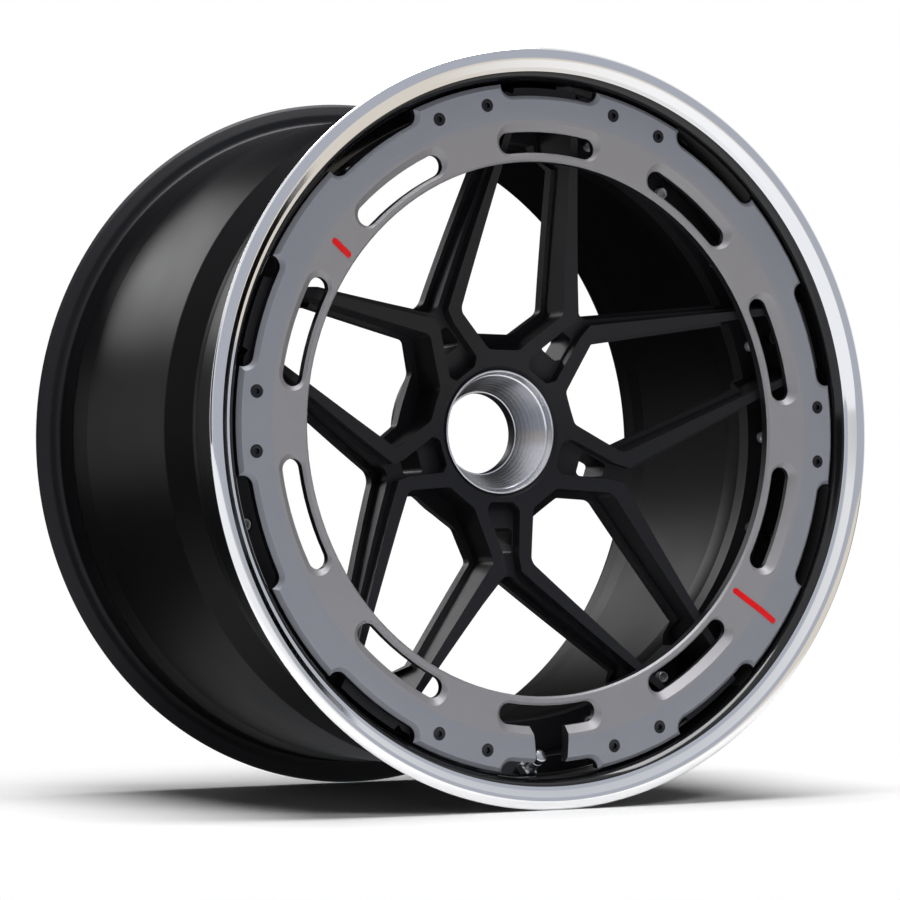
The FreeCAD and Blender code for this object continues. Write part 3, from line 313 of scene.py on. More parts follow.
def plain_metal(name, base, roughness, metallic=1.0):
    """Small hardware: plain or coated metal with slightly uneven gloss and rubbed spots."""
    made, tree, shader = new_material(name)
    place = add_node(tree, "ShaderNodeTexCoord").outputs["Object"]
    rub = add_node(tree, "ShaderNodeTexNoise", {"Vector": place, "Scale": 1 / RUBBED_SPOTS, "Detail": 3.0})
    tone = add_node(tree, "ShaderNodeMix",
                    {0: rub.outputs["Fac"], MIX_A: shaded(base, 0.8), MIX_B: shaded(base, 1.05)},
                    data_type="RGBA")
    gloss = add_node(tree, "ShaderNodeMapRange",
                     {"Value": rub.outputs["Fac"], "To Min": roughness - 0.07, "To Max": roughness + 0.07})
    shader.inputs["Metallic"].default_value = metallic
    tree.links.new(tone.outputs[MIX_OUT], shader.inputs["Base Color"])
    tree.links.new(gloss.outputs["Result"], shader.inputs["Roughness"])
    return made


def turned_steel():
    # Bare steel off the lathe: bright wedges of light that run across the rings, and dark ones between
    return turned_metal("turned_steel", colours().steel, 0.22, sizes().turn_pitch)


def zinc_flake_steel():
    # Zinc-flake coat on the bolts, nuts and washers: a dull silver that is half paint, half metal
    return plain_metal("zinc_flake_steel", colours().bright, 0.42, 0.5)


def black_oxide_steel():
    # Oiled black oxide: near black, with a soft metal sheen where the edges are rubbed
    return plain_metal("black_oxide_steel", colours().oxide, 0.32)


def bright_valve_alloy():
    # Bright turned alloy: small sharp glints on the ribs of the cap and the thread
    return turned_metal("bright_valve_alloy", colours().bright, 0.2, VALVE_PITCH)


def plain_brass():
    # Machined brass: a warm yellow with slightly tarnished spots
    return plain_metal("plain_brass", colours().brass, 0.3)


def seal_rubber():
    # Moulded rubber: dull black with a dusty sheen
    made, tree, shader = new_material("seal_rubber")
    place = add_node(tree, "ShaderNodeTexCoord").outputs["Object"]
    dust = add_node(tree, "ShaderNodeTexNoise", {"Vector": place, "Scale": 1 / DUST, "Detail": 4.0})
    tone = add_node(tree, "ShaderNodeMix",
                    {0: dust.outputs["Fac"], MIX_A: shaded(colours().rubber, 0.8),
                     MIX_B: shaded(colours().rubber, 1.3)}, data_type="RGBA")
    tree.links.new(tone.outputs[MIX_OUT], shader.inputs["Base Color"])
    shader.inputs["Roughness"].default_value = 0.75
    return made


FINISHES = {
    "polished_alloy": polished_aluminium,
    "black_alloy": satin_black,
    "barrel_black": barrel_black,
    "painted_dark_reflection": painted_dark_reflection,
    "grey_alloy": satin_grey,
    "red_enamel": red_enamel,
    "turned_steel": turned_steel,
    "bolt_steel": zinc_flake_steel,
    "black_steel": black_oxide_steel,
    "valve_metal": bright_valve_alloy,
    "valve_brass": plain_brass,
    "seal_rubber": seal_rubber,
}
made_finishes = {}


def finish_for(slot):
    """The finish for a slot, made once."""
    if slot not in made_finishes:
        made_finishes[slot] = FINISHES[slot]()
    return made_finishes[slot]


def place_piece(name, mesh, slot, replaced, finish=None):
    """Make a finished piece that rides on the wheel and stands for CAD nodes."""
    mesh.materials.clear()
    mesh.materials.append(finish_for(finish or slot))
    piece = bpy.data.objects.new(name, mesh)
    bpy.context.scene.collection.objects.link(piece)
    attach(piece, "root")
    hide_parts(*replaced)
    return piece


def arc(centre, radius, first, last, steps):
    """Corners of a profile along an arc; its angles, in degrees, count from outward toward the back."""
    turns = [math.radians(first + (last - first) * step / steps) for step in range(steps + 1)]
    return [(centre[0] + radius * math.cos(turn), centre[1] + radius * math.sin(turn), 0.0) for turn in turns]


def rounded_profile(corners, steps=5):
    """Round the corners of a closed (radius, depth, corner radius) profile."""
    points = []
    count = len(corners)
    for i, (r, d, radius) in enumerate(corners):
        here = Vector((r, d))
        back = Vector(corners[i - 1][:2]) - here
        ahead = Vector(corners[(i + 1) % count][:2]) - here
        half = back.angle(ahead) / 2
        if radius <= 0 or half > STRAIGHT:
            points.append((r, d))
            continue
        reach = min(radius / math.tan(half), SIDE_SHARE * back.length, SIDE_SHARE * ahead.length)
        radius = reach * math.tan(half)
        bisector = (back.normalized() + ahead.normalized()).normalized()
        centre = here + bisector * (radius / math.sin(half))
        first = here + back.normalized() * reach - centre
        last = here + ahead.normalized() * reach - centre
        sweep = first.angle_signed(last)
        for step in range(steps + 1):
            turned = Matrix.Rotation(-sweep * step / steps, 2) @ first
            points.append(tuple(centre + turned))
    return points


def lathe_mesh(name, rings, segments, closed=True):
    """Turn (radius, place along Y) rings in mm about the Y axis; a radius may be a function of the angle."""
    bm = bmesh.new()
    loops = []
    for radius, depth in rings:
        loop = []
        for k in range(segments):
            angle = 2 * math.pi * k / segments
            r = radius(angle) if callable(radius) else radius
            loop.append(bm.verts.new((r * math.sin(angle) * MM, depth * MM, r * math.cos(angle) * MM)))
        loops.append(loop)
    pairs = list(zip(loops, loops[1:])) + ([(loops[-1], loops[0])] if closed else [])
    for lower, upper in pairs:
        for k in range(segments):
            following = (k + 1) % segments
            bm.faces.new((lower[k], lower[following], upper[following], upper[k]))
    bmesh.ops.remove_doubles(bm, verts=bm.verts, dist=LATHE_MERGE)
    bmesh.ops.dissolve_degenerate(bm, edges=bm.edges, dist=LATHE_MERGE)
    bmesh.ops.recalc_face_normals(bm, faces=bm.faces)
    smooth_between(bm, LATHE_SHARP)
    mesh = bpy.data.meshes.new(name)
    bm.to_mesh(mesh)
    bm.free()
    return mesh


def smooth_between(bm, sharp_angle):
    """Shade all faces smooth, and keep the edges that turn by the sharp angle or more crisp."""
    for face in bm.faces:
        face.smooth = True
    for edge in bm.edges:
        edge.smooth = edge.calc_face_angle(0.0) < sharp_angle


def in_wheel(rings):
    """Depths counted from the lip's front edge become places along Y."""
    return [(radius, depth - HALF_WIDTH) for radius, depth in rings]


def softened_copy(node, name, width, segments=2):
    """A merged copy of a CAD node with its milled edges broken by a small bevel."""
    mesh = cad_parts[node].data.copy()
    bm = bmesh.new()
    bm.from_mesh(mesh)
    bmesh.ops.remove_doubles(bm, verts=bm.verts, dist=CAD_MERGE)
    bmesh.ops.dissolve_degenerate(bm, edges=bm.edges, dist=CAD_MERGE)
    bmesh.ops.dissolve_limit(bm, angle_limit=FLAT_ANGLE, verts=bm.verts, edges=bm.edges)
    smooth_between(bm, MILLED_SHARP)
    bm.to_mesh(mesh)
    bm.free()
    holder = bpy.data.objects.new(name + "_blank", mesh)
    bpy.context.scene.collection.objects.link(holder)
    bevel = holder.modifiers.new("soft_edges", "BEVEL")
    bevel.width = width
    bevel.segments = segments
    bevel.limit_method = "ANGLE"
    bevel.angle_limit = MILLED_SHARP
    bevel.use_clamp_overlap = True
    bevel.harden_normals = True
    soft = baked(holder, name)
    bpy.data.objects.remove(holder)
    return soft


def baked(holder, name):
    """The evaluated mesh of an object, as a plain mesh."""
    depsgraph = bpy.context.evaluated_depsgraph_get()
    mesh = bpy.data.meshes.new_from_object(holder.evaluated_get(depsgraph))
    mesh.name = name
    return mesh


def copies_tree():
    """Copies of one pattern on a circle about Y, each turned to face the way that its point lies."""
    tree = bpy.data.node_groups.new("copies_on_circle", "GeometryNodeTree")
    for label, kind, way in (("Geometry", "NodeSocketGeometry", "INPUT"),
                             ("Pattern", "NodeSocketObject", "INPUT"),
                             ("Circle radius", "NodeSocketFloat", "INPUT"),
                             ("Finish", "NodeSocketMaterial", "INPUT"),
                             ("Geometry", "NodeSocketGeometry", "OUTPUT")):
        tree.interface.new_socket(label, in_out=way, socket_type=kind)
    given = add_node(tree, "NodeGroupInput").outputs
    spot = add_node(tree, "GeometryNodeInputPosition").outputs["Position"]
    axes = add_node(tree, "ShaderNodeSeparateXYZ", {"Vector": spot}).outputs
    angle = add_node(tree, "ShaderNodeMath", {0: axes["X"], 1: axes["Z"]}, operation="ARCTAN2")
    turn = add_node(tree, "ShaderNodeCombineXYZ", {"Y": angle.outputs["Value"]})
    out = add_node(tree, "ShaderNodeVectorMath", {0: spot, "Scale": given["Circle radius"]}, operation="SCALE")
    pattern = add_node(tree, "GeometryNodeObjectInfo", {"Object": given["Pattern"]})
    kept = add_node(tree, "GeometryNodeCaptureAttribute", {"Geometry": given["Geometry"]})
    kept.capture_items.new("VECTOR", "Turn")
    tree.links.new(turn.outputs["Vector"], kept.inputs[1])
    moved = add_node(tree, "GeometryNodeSetPosition",
                     {"Geometry": kept.outputs[0], "Position": out.outputs["Vector"]})
    set_out = add_node(tree, "GeometryNodeInstanceOnPoints",
                       {"Points": moved.outputs["Geometry"], "Instance": pattern.outputs["Geometry"],
                        "Rotation": kept.outputs[1]})
    real = add_node(tree, "GeometryNodeRealizeInstances", {"Geometry": set_out.outputs["Instances"]})
    dressed = add_node(tree, "GeometryNodeSetMaterial",
                       {"Geometry": real.outputs["Geometry"], "Material": given["Finish"]})
    add_node(tree, "NodeGroupOutput", {"Geometry": dressed.outputs["Geometry"]})
    return tree


def copies_on_circle(name, pattern_mesh, angles, radius, slot, replaced):
    """Repeat a pattern, drawn about the axis, at the given angles on a circle."""
    tree = bpy.data.node_groups.get("copies_on_circle") or copies_tree()
    pattern = bpy.data.objects.new(name + "_pattern", pattern_mesh)
    spots = bpy.data.meshes.new(name + "_spots")
    turned = [math.radians(angle) for angle in angles]
    spots.from_pydata([(math.sin(a), 0.0, math.cos(a)) for a in turned], [], [])
    holder = bpy.data.objects.new(name + "_holder", spots)
    for made in (pattern, holder):
        bpy.context.scene.collection.objects.link(made)
    modifier = holder.modifiers.new("copies", "NODES")
    modifier.node_group = tree
    given = {"Pattern": pattern, "Circle radius": radius, "Finish": finish_for(slot)}
    for item in tree.interface.items_tree:
        if item.in_out == "INPUT" and item.name in given:
            modifier[item.identifier] = given[item.name]
    holder.update_tag()
    bpy.context.view_layer.update()
    mesh = baked(holder, name)
    bpy.data.objects.remove(holder)
    bpy.data.objects.remove(pattern)
    if not mesh.polygons:
        raise RuntimeError(name + ": the pattern gave no copies")
    return place_piece(name, mesh, slot, replaced)


def even_angles(count):
    return [360 * k / count for k in range(count)]


def hexagon(flat):
    """The radius of a hexagon at an angle, from half its width across flats."""
    return lambda angle: flat / math.cos((angle + math.pi / 6) % (math.pi / 3) - math.pi / 6)


def star(radius, depth, points):
    """The radius of a ribbed circle at an angle."""
    return lambda angle: radius + depth * math.cos(points * angle)


class WHEEL_OT_outer_lip(bpy.types.Operator):
    """Turn the polished front half of the rim"""
    bl_idname = "wheel.outer_lip"
    bl_label = "Outer lip"
    bl_options = {"REGISTER", "UNDO"}
    # The polish ends at this depth: behind it the polished inner wall is given gloss black as a painted dark
    # reflection, and the tyre's side has the barrel's black darkened as painted shade
    POLISH_DEPTH = 5.9

    def execute(self, context):
        front_roll = arc((265.5, 11.0), 11.0, -103.0, -64.0, 13)
        inner_wall = arc((262.87, 17.42), 14.0, 194.1, 247.4, 10)
        profile = rounded_profile([
            *front_roll,
            (272.0, 2.4, 1.5), (269.0, 4.6, 1.5), (262.0, 7.6, 6.0), (254.0, 7.6, 6.5),
            (252.1, 28.6, 2.0), (253.1, 32.6, 2.0), (252.1, 46.0, 4.0), (241.0, 60.0, 6.0), (241.0, 90.0, 0.3),
            (219.0, 90.0, 0.3), (219.0, 83.0, 0.3), (236.0, 83.0, 0.0), (236.0, 46.0, 2.0), (249.3, 40.0, 2.0),
            *inner_wall,
            (258.0, 4.12, 0.0), (262.5, 0.68, 0.0),
        ])
        mesh = lathe_mesh("polished_lip", in_wheel(profile), RIM_SEGMENTS)
        lip = place_piece("polished_lip", mesh, "polished_alloy", ["outer_lip"])
        lip.data.materials.append(finish_for("painted_dark_reflection"))
        lip.data.materials.append(finish_for("barrel_black"))
        # Painted dark reflection on the inner wall, painted shade on the tyre's side
        for face in lip.data.polygons:
            if face.center.y > (self.POLISH_DEPTH - HALF_WIDTH) * MM:
                outside = face.normal.x * face.center.x + face.normal.z * face.center.z > 0
                face.material_index = 2 if outside else 1
        return {"FINISHED"}


class WHEEL_OT_inner_barrel(bpy.types.Operator):
    """Turn the black rear half of the rim"""
    bl_idname = "wheel.inner_barrel"
    bl_label = "Inner barrel"
    bl_options = {"REGISTER", "UNDO"}
    # Behind this depth the rear flange has the satin black of the spokes; in front of it the barrel has that
    # black darkened as painted shade
    FLANGE_DEPTH = 311.0

    def execute(self, context):
        profile = rounded_profile([
            (241.0, 90.0, 0.4), (241.0, 97.0, 6.0), (250.0, 126.0, 8.0), (250.0, 268.0, 6.0),
            (253.1, 287.4, 2.0), (252.1, 291.4, 2.0), (254.0, 312.4, 6.5), (262.0, 312.4, 6.0),
            (269.0, 315.4, 1.5), (272.3, 317.8, 1.6), (266.5, 320.0, 2.5), (263.5, 320.0, 1.5),
            (253.1, 312.4, 5.0), (247.1, 300.4, 4.0), (247.1, 287.4, 4.0), (245.0, 268.0, 8.0),
            (245.0, 131.0, 10.0), (236.0, 107.0, 4.0), (236.0, 104.0, 1.5), (233.0, 101.0, 1.5),
            (212.5, 101.0, 0.4), (212.5, 83.0, 0.4), (218.7, 83.0, 0.3), (218.7, 90.0, 0.3),
        ])
        mesh = lathe_mesh("black_barrel", in_wheel(profile), RIM_SEGMENTS)
        barrel = place_piece("black_barrel", mesh, "black_alloy", ["inner_barrel"], "barrel_black")
        barrel.data.materials.append(finish_for("black_alloy"))
        for face in barrel.data.polygons:
            if face.center.y > (self.FLANGE_DEPTH - HALF_WIDTH) * MM:
                face.material_index = 1
        return {"FINISHED"}


class WHEEL_OT_spoke_centre(bpy.types.Operator):
    """Soften the milled edges of the forged centre"""
    bl_idname = "wheel.spoke_centre"
    bl_label = "Spoke centre"
    bl_options = {"REGISTER", "UNDO"}

    def execute(self, context):
        mesh = softened_copy("spoke_centre", "split_spokes", sizes().edge_round)
        place_piece("split_spokes", mesh, "black_alloy", ["spoke_centre"])
        return {"FINISHED"}


class WHEEL_OT_face_ring(bpy.types.Operator):
    """Soften the milled edges of the slotted ring"""
    bl_idname = "wheel.face_ring"
    bl_label = "Slotted ring"
    bl_options = {"REGISTER", "UNDO"}
    EDGE_SHARE = 0.5
    # Faces that look forward less than this are the walls and the back; they are given the satin black as
    # painted shade
    WALL_LIMIT = -0.2

    def execute(self, context):
        mesh = softened_copy("aero_ring", "slotted_ring", self.EDGE_SHARE * sizes().edge_round)
        ring = place_piece("slotted_ring", mesh, "grey_alloy", ["aero_ring"])
        ring.data.materials.append(finish_for("black_alloy"))
        # Painted shade: the ring's walls and back take the satin black instead of the grey
        for face in ring.data.polygons:
            if face.normal.y > self.WALL_LIMIT:
                face.material_index = 1
        return {"FINISHED"}


class WHEEL_OT_lock_cone(bpy.types.Operator):
    """Turn the cone that the centre-lock nut bears on"""
    bl_idname = "wheel.lock_cone"
    bl_label = "Centre-lock cone"
    bl_options = {"REGISTER", "UNDO"}
    # Within this radius the turned bore is given the satin black as painted shadow
    BORE_RADIUS = 30.3

    def execute(self, context):
        profile = rounded_profile([
            (45.5, 82.1, 0.4), (45.5, 118.5, 0.4), (39.7, 118.5, 0.2), (39.7, 123.0, 0.4), (30.0, 123.0, 0.8),
            (30.0, 113.5, 0.5), (31.0, 113.5, 0.4), (41.6, 88.0, 0.2), (42.9, 87.3, 0.1), (42.3, 86.6, 0.2),
            (44.2, 82.1, 0.5),
        ])
        mesh = lathe_mesh("turned_cone", in_wheel(profile), CONE_SEGMENTS)
        cone = place_piece("turned_cone", mesh, "turned_steel", ["centre_lock_cone"])
        cone.data.materials.append(finish_for("black_alloy"))
        # Painted shadow in the bore of the turned cone
        for face in cone.data.polygons:
            if math.hypot(face.center.x, face.center.z) < self.BORE_RADIUS * MM:
                face.material_index = 1
        return {"FINISHED"}


class WHEEL_OT_assembly_bolts(bpy.types.Operator):
    """Repeat the socket-head bolts, washers and nuts round the joint"""
    bl_idname = "wheel.assembly_bolts"
    bl_label = "Assembly bolts"
    bl_options = {"REGISTER", "UNDO"}
    SEAT_DEPTH = 71.8
    BACK_DEPTH = 101.0
    BOLT_LENGTH = 37.5
    SOCKET_POINTS = 12
    WASHER_THICKNESS = 1.2
    NUT_HEIGHT = 5.0
    NUT_CORNER = 5.7

    def execute(self, context):
        angles = even_angles(sizes().bolt_count)
        circle = sizes().bolt_circle
        seat = self.SEAT_DEPTH - HALF_WIDTH
        end = seat + self.BOLT_LENGTH
        socket_floor = star(2.6, 0.25, self.SOCKET_POINTS)
        socket_mouth = star(2.75, 0.3, self.SOCKET_POINTS)
        bolt = lathe_mesh("bolt_pattern", [
            (0.0, seat - 1.8), (socket_floor, seat - 1.8), (socket_mouth, seat - 4.6), (3.3, seat - 5.0),
            (3.8, seat - 5.0), (4.2, seat - 4.5), (4.2, seat), (3.0, seat), (3.0, end - 0.6), (2.4, end),
            (0.0, end),
        ], BOLT_SEGMENTS, closed=False)
        copies_on_circle("socket_bolts", bolt, angles, circle, "bolt_steel", ["assembly_bolts"])
        back = self.BACK_DEPTH - HALF_WIDTH
        low = back + self.WASHER_THICKNESS
        high = low + self.NUT_HEIGHT
        ring = rounded_profile([(3.3, back, 0.1), (6.0, back, 0.2), (6.0, low, 0.3), (3.3, low, 0.2)], 2)
        washer = lathe_mesh("washer_pattern", ring, WASHER_SEGMENTS)
        copies_on_circle("flat_washers", washer, angles, circle, "bolt_steel", ["assembly_washers"])
        side = hexagon(self.NUT_CORNER * math.cos(math.pi / 6))
        nut = lathe_mesh("nut_pattern", [
            (3.3, low), (side, low), (side, high - 0.5), (4.7, high), (3.8, high), (3.3, high - 0.5),
        ], BOLT_SEGMENTS)
        copies_on_circle("hexagon_nuts", nut, angles, circle, "bolt_steel", ["assembly_nuts"])
        return {"FINISHED"}


class WHEEL_OT_grub_screws(bpy.types.Operator):
    """Repeat the small grub screws round the inside of the barrel's flange"""
    bl_idname = "wheel.grub_screws"
    bl_label = "Grub screws"
    bl_options = {"REGISTER", "UNDO"}
    DEPTH = 95.5
    CIRCLE = 212.5
    SOCKET = 0.85

    def execute(self, context):
        socket = hexagon(self.SOCKET)
        screw = lathe_mesh("grub_pattern", [
            (0.0, 1.4), (socket, 1.4), (socket, 0.1), (1.4, 0.0), (1.7, 0.0), (1.9, 0.2), (1.9, 5.0), (0.0, 5.0),
        ], GRUB_SEGMENTS, closed=False)
        outward = Matrix.Rotation(math.pi / 2, 4, "X")
        screw.transform(Matrix.Translation((0, (self.DEPTH - HALF_WIDTH) * MM, 0)) @ outward)
        copies_on_circle("grub_screws", screw, even_angles(sizes().grub_count), self.CIRCLE * MM, "bolt_steel",
                         ["flange_grub_screws"])
        return {"FINISHED"}


class WHEEL_OT_ring_screws(bpy.types.Operator):
    """Repeat the black countersunk screws of the slotted ring and their inserts"""
    bl_idname = "wheel.ring_screws"
    bl_label = "Ring screws"
    bl_options = {"REGISTER", "UNDO"}
    FACE_DEPTH = 9.5
    SCREW_LENGTH = 19.0
    INSERT_DEPTH = 18.5
    INSERT_LENGTH = 12.0
    # Angles of the ears that carry the ring, and of the screws to either side of an ear's middle
    EARS = (18, 90, 162, 198, 270, 342)
    EAR_SIDES = (-5, 5)

    def execute(self, context):
        angles = [ear + side for ear in self.EARS for side in self.EAR_SIDES]
        circle = sizes().screw_circle
        face = self.FACE_DEPTH - HALF_WIDTH
        end = face + self.SCREW_LENGTH
        screw = lathe_mesh("screw_pattern", [
            (0.0, face + 2.2), (hexagon(1.95), face + 2.2), (hexagon(2.0), face + 0.2), (2.6, face), (4.4, face),
            (4.7, face + 0.2), (2.5, face + 2.4), (2.5, end - 0.4), (2.1, end), (0.0, end),
        ], BOLT_SEGMENTS, closed=False)
        copies_on_circle("ring_screws_black", screw, angles, circle, "black_steel", ["ring_screws"])
        near = self.INSERT_DEPTH - HALF_WIDTH
        far = near + self.INSERT_LENGTH
        sleeve = rounded_profile([(2.8, near, 0.2), (4.0, near, 0.2), (4.0, far, 0.3), (2.8, far, 0.2)], 2)
        insert = lathe_mesh("insert_pattern", sleeve, INSERT_SEGMENTS)
        copies_on_circle("thread_inserts", insert, angles, circle, "turned_steel", ["ring_inserts"])
        return {"FINISHED"}


class WHEEL_OT_accents(bpy.types.Operator):
    """Crown the two red inlays of the ring"""
    bl_idname = "wheel.accents"
    bl_label = "Red inlays"
    bl_options = {"REGISTER", "UNDO"}
    CROWN = 0.45 * MM
    CROWN_STEPS = 3

    def execute(self, context):
        for node, name in (("accent_bar_long", "red_inlay_long"), ("accent_bar_short", "red_inlay_short")):
            mesh = softened_copy(node, name, self.CROWN, self.CROWN_STEPS)
            place_piece(name, mesh, "red_enamel", [node])
        return {"FINISHED"}


class WHEEL_OT_valve(bpy.types.Operator):
    """Turn the pieces of the valve and stand them on the step of the lip"""
    bl_idname = "wheel.valve"
    bl_label = "Valve"
    bl_options = {"REGISTER", "UNDO"}
    # The sloping step of the lip: its radii, the change of depth between them and the depth of its middle
    STEP_OUTER = 249.3
    STEP_INNER = 236.0
    STEP_RISE = 6.0
    STEP_DEPTH = 43.0
    # From the top of the cap to the step, along the valve
    REACH = 21
    THREAD_TURNS = 16
    THREAD_PITCH = 0.9
    CAP_RIBS = 24
    NUT_CORNER = 8.0

    def execute(self, context):
        tilt = math.atan2(self.STEP_RISE, self.STEP_OUTER - self.STEP_INNER)
        radius = (self.STEP_OUTER + self.STEP_INNER) / 2 - math.sin(tilt) * self.REACH
        depth = self.STEP_DEPTH - math.cos(tilt) * self.REACH - HALF_WIDTH
        stand = Matrix.Translation((0, depth * MM, -radius * MM)) @ Matrix.Rotation(-tilt, 4, "X")
        stem = [(1.8, 1.8)]
        for turn in range(self.THREAD_TURNS):
            stem += [(3.75, 1.9 + turn * self.THREAD_PITCH), (4.1, 2.35 + turn * self.THREAD_PITCH)]
        stem += [(4.1, 30.5), (8.0, 30.5), (8.3, 30.8), (8.3, 33.2), (7.6, 33.5), (1.8, 33.5)]
        rib = star(4.9, 0.12, self.CAP_RIBS)
        cap = [(0.0, 0.0), (3.6, 0.0), (4.5, 0.5), (4.9, 1.2), (rib, 1.6), (rib, 6.5), (4.7, 6.7), (4.7, 7.3),
               (5.0, 7.5), (5.0, 8.5), (4.4, 8.5), (4.4, 1.5), (0.0, 1.5)]
        side = hexagon(self.NUT_CORNER * math.cos(math.pi / 6))
        nut = [(4.4, 17.1), (6.0, 17.1), (side, 18.1), (side, 21.6), (4.4, 21.6)]
        for name, rings, closed, node in (("valve_stem_turned", stem, True, "valve_stem"),
                                          ("valve_cap_ribbed", cap, False, "valve_cap"),
                                          ("valve_nut_hexagon", nut, True, "valve_nut")):
            mesh = lathe_mesh(name, rings, VALVE_SEGMENTS, closed)
            mesh.transform(stand)
            place_piece(name, mesh, "valve_metal", [node])
        return {"FINISHED"}


class WHEEL_OT_small_finishes(bpy.types.Operator):
    """Give the remaining CAD pieces their finishes"""
    bl_idname = "wheel.small_finishes"
    bl_label = "Small pieces"
    bl_options = {"REGISTER", "UNDO"}

    def execute(self, context):
        for node, slot in (("rim_seal", "seal_rubber"), ("valve_seal", "seal_rubber"),
                           ("valve_core", "valve_brass"), ("drive_pin_bushes", "turned_steel")):
            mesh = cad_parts[node].data
            mesh.materials.clear()
            mesh.materials.append(finish_for(slot))
        return {"FINISHED"}


class WHEEL_OT_studio(bpy.types.Operator):
    """Set the floor, the soft lights and the camera"""
    bl_idname = "wheel.studio"
    bl_label = "Studio"
    bl_options = {"REGISTER", "UNDO"}
    WHITE = "#FFFFFF"
    DARK = "#1C1C1E"
    # The floor in metres: its corners, where it fades to white, and where reflections of it show a painted dark
    # back behind the wheel and a painted warm tint toward +X
    FLOOR_CORNERS = ((-6, -6), (6, -6), (6, 12), (-6, 12))
    FADE_START, FADE_END = 0.33, 0.75
    BEHIND_START, BEHIND_END = -0.15, 0.35
    BESIDE_START, BESIDE_END = 0.1, 0.6
    # What the room shows in reflections: the way to it, its colour, and the cosines where it starts and is full
    ROOM = "#F0F1F3"
    ROOM_SIDES = (
        ((0.49, -0.87, 0.0), "#AEB2BC", 0.3, 0.65),  # a grey wall in front at the right
        ((-0.1, 0.99, 0.1), DARK, 0.45, 0.8),  # a dark wall behind the wheel
        ((-0.88, -0.47, 0.0), "#3A3A3E", 0.88, 0.97),  # a narrow dark flag at the left
    )
    ROOM_LIGHT = 0.03
    # Each lamp's name, place, width, height, power, whether reflections show it and whether it lights the wheel
    LAMPS = (
        ("overhead_softbox", (-0.05, -0.2, 2.5), 2.2, 1.6, 105, True, True),
        ("front_fill", (-0.2, -2.7, 2.1), 1.6, 1.0, 32, False, True),
        ("rear_card", (-0.4, 2.2, 0.88), 1.1, 0.6, 10, True, False),
        ("left_card", (-1.35, 2.0, 0.1), 0.4, 0.8, 1.8, True, False),
    )
    # The camera as fitted to the circles of the lip and the barrel
    LENS = 124.15
    SENSOR = 36.0
    FAR_CLIP = 50.0
    CAMERA_PLACE = (-1.142467, -2.051342, -0.094075)
    CAMERA_RIGHT = (0.873503, -0.486818, -0.000128)
    CAMERA_UP = (-0.017102, -0.030950, 0.999375)
    CAMERA_BACK = (-0.486518, -0.872955, -0.035361)

    def execute(self, context):
        self.floor()
        self.world()
        for lamp in self.LAMPS:
            self.lamp(*lamp)
        self.camera()
        bpy.context.scene.view_settings.view_transform = "Standard"
        return {"FINISHED"}

    def floor(self):
        """A pale floor that takes the wheel's shadow and fades to white; reflections of it show a painted dark
        back and a painted warm side.
        """
        mesh = bpy.data.meshes.new("studio_floor")
        height = sizes().floor_height
        mesh.from_pydata([(x, y, height) for x, y in self.FLOOR_CORNERS], [], [(0, 1, 2, 3)])
        # Matt painted board: white, with almost no sheen
        made, tree, shader = new_material("studio_floor")
        shader.inputs["Base Color"].default_value = colours().floor
        shader.inputs["Roughness"].default_value = 0.6
        shader.inputs["Specular IOR Level"].default_value = 0.2
        seen = add_node(tree, "ShaderNodeLightPath").outputs
        mirrored = add_node(tree, "ShaderNodeMath", {0: seen["Is Glossy Ray"], 1: seen["Is Transmission Ray"]},
                            operation="MAXIMUM").outputs["Value"]
        looked = add_node(tree, "ShaderNodeMath", {0: seen["Is Camera Ray"], 1: mirrored},
                          operation="MAXIMUM").outputs["Value"]
        place = add_node(tree, "ShaderNodeTexCoord").outputs["Object"]
        spread = add_node(tree, "ShaderNodeVectorMath", {0: place}, operation="LENGTH").outputs["Value"]
        spot = add_node(tree, "ShaderNodeSeparateXYZ", {"Vector": place}).outputs
        far = add_node(tree, "ShaderNodeMapRange",
                       {"Value": spread, "From Min": self.FADE_START, "From Max": self.FADE_END},
                       interpolation_type="SMOOTHSTEP").outputs["Result"]
        # Painted reflection: reflections see the floor dark behind the wheel and warmer toward +X
        behind = add_node(tree, "ShaderNodeMapRange",
                          {"Value": spot["Y"], "From Min": self.BEHIND_START, "From Max": self.BEHIND_END})
        beside = add_node(tree, "ShaderNodeMapRange",
                          {"Value": spot["X"], "From Min": self.BESIDE_START, "From Max": self.BESIDE_END})
        hidden = add_node(tree, "ShaderNodeMath", {0: mirrored, 1: behind.outputs["Result"]},
                          operation="MULTIPLY").outputs["Value"]
        pale = add_node(tree, "ShaderNodeMix",
                        {0: beside.outputs["Result"], MIX_A: linear("#F4F6FA"), MIX_B: linear("#DDD6CB")},
                        data_type="RGBA").outputs[MIX_OUT]
        room = add_node(tree, "ShaderNodeMix", {0: hidden, MIX_A: pale, MIX_B: linear(self.DARK)},
                        data_type="RGBA").outputs[MIX_OUT]
        tone = add_node(tree, "ShaderNodeMix",
                        {0: seen["Is Camera Ray"], MIX_A: room, MIX_B: linear(self.WHITE)},
                        data_type="RGBA").outputs[MIX_OUT]
        glowing = add_node(tree, "ShaderNodeMath", {0: far, 1: hidden}, operation="MAXIMUM").outputs["Value"]
        share = add_node(tree, "ShaderNodeMath", {0: glowing, 1: looked}, operation="MULTIPLY").outputs["Value"]
        glow = add_node(tree, "ShaderNodeEmission", {"Color": tone, "Strength": 1.0}).outputs["Emission"]
        mix = add_node(tree, "ShaderNodeMixShader", {0: share, 1: shader.outputs["BSDF"], 2: glow})
        output = next(node for node in tree.nodes if node.bl_idname == "ShaderNodeOutputMaterial")
        tree.links.new(mix.outputs["Shader"], output.inputs["Surface"])
        mesh.materials.append(made)
        floor = bpy.data.objects.new("studio_floor", mesh)
        bpy.context.scene.collection.objects.link(floor)

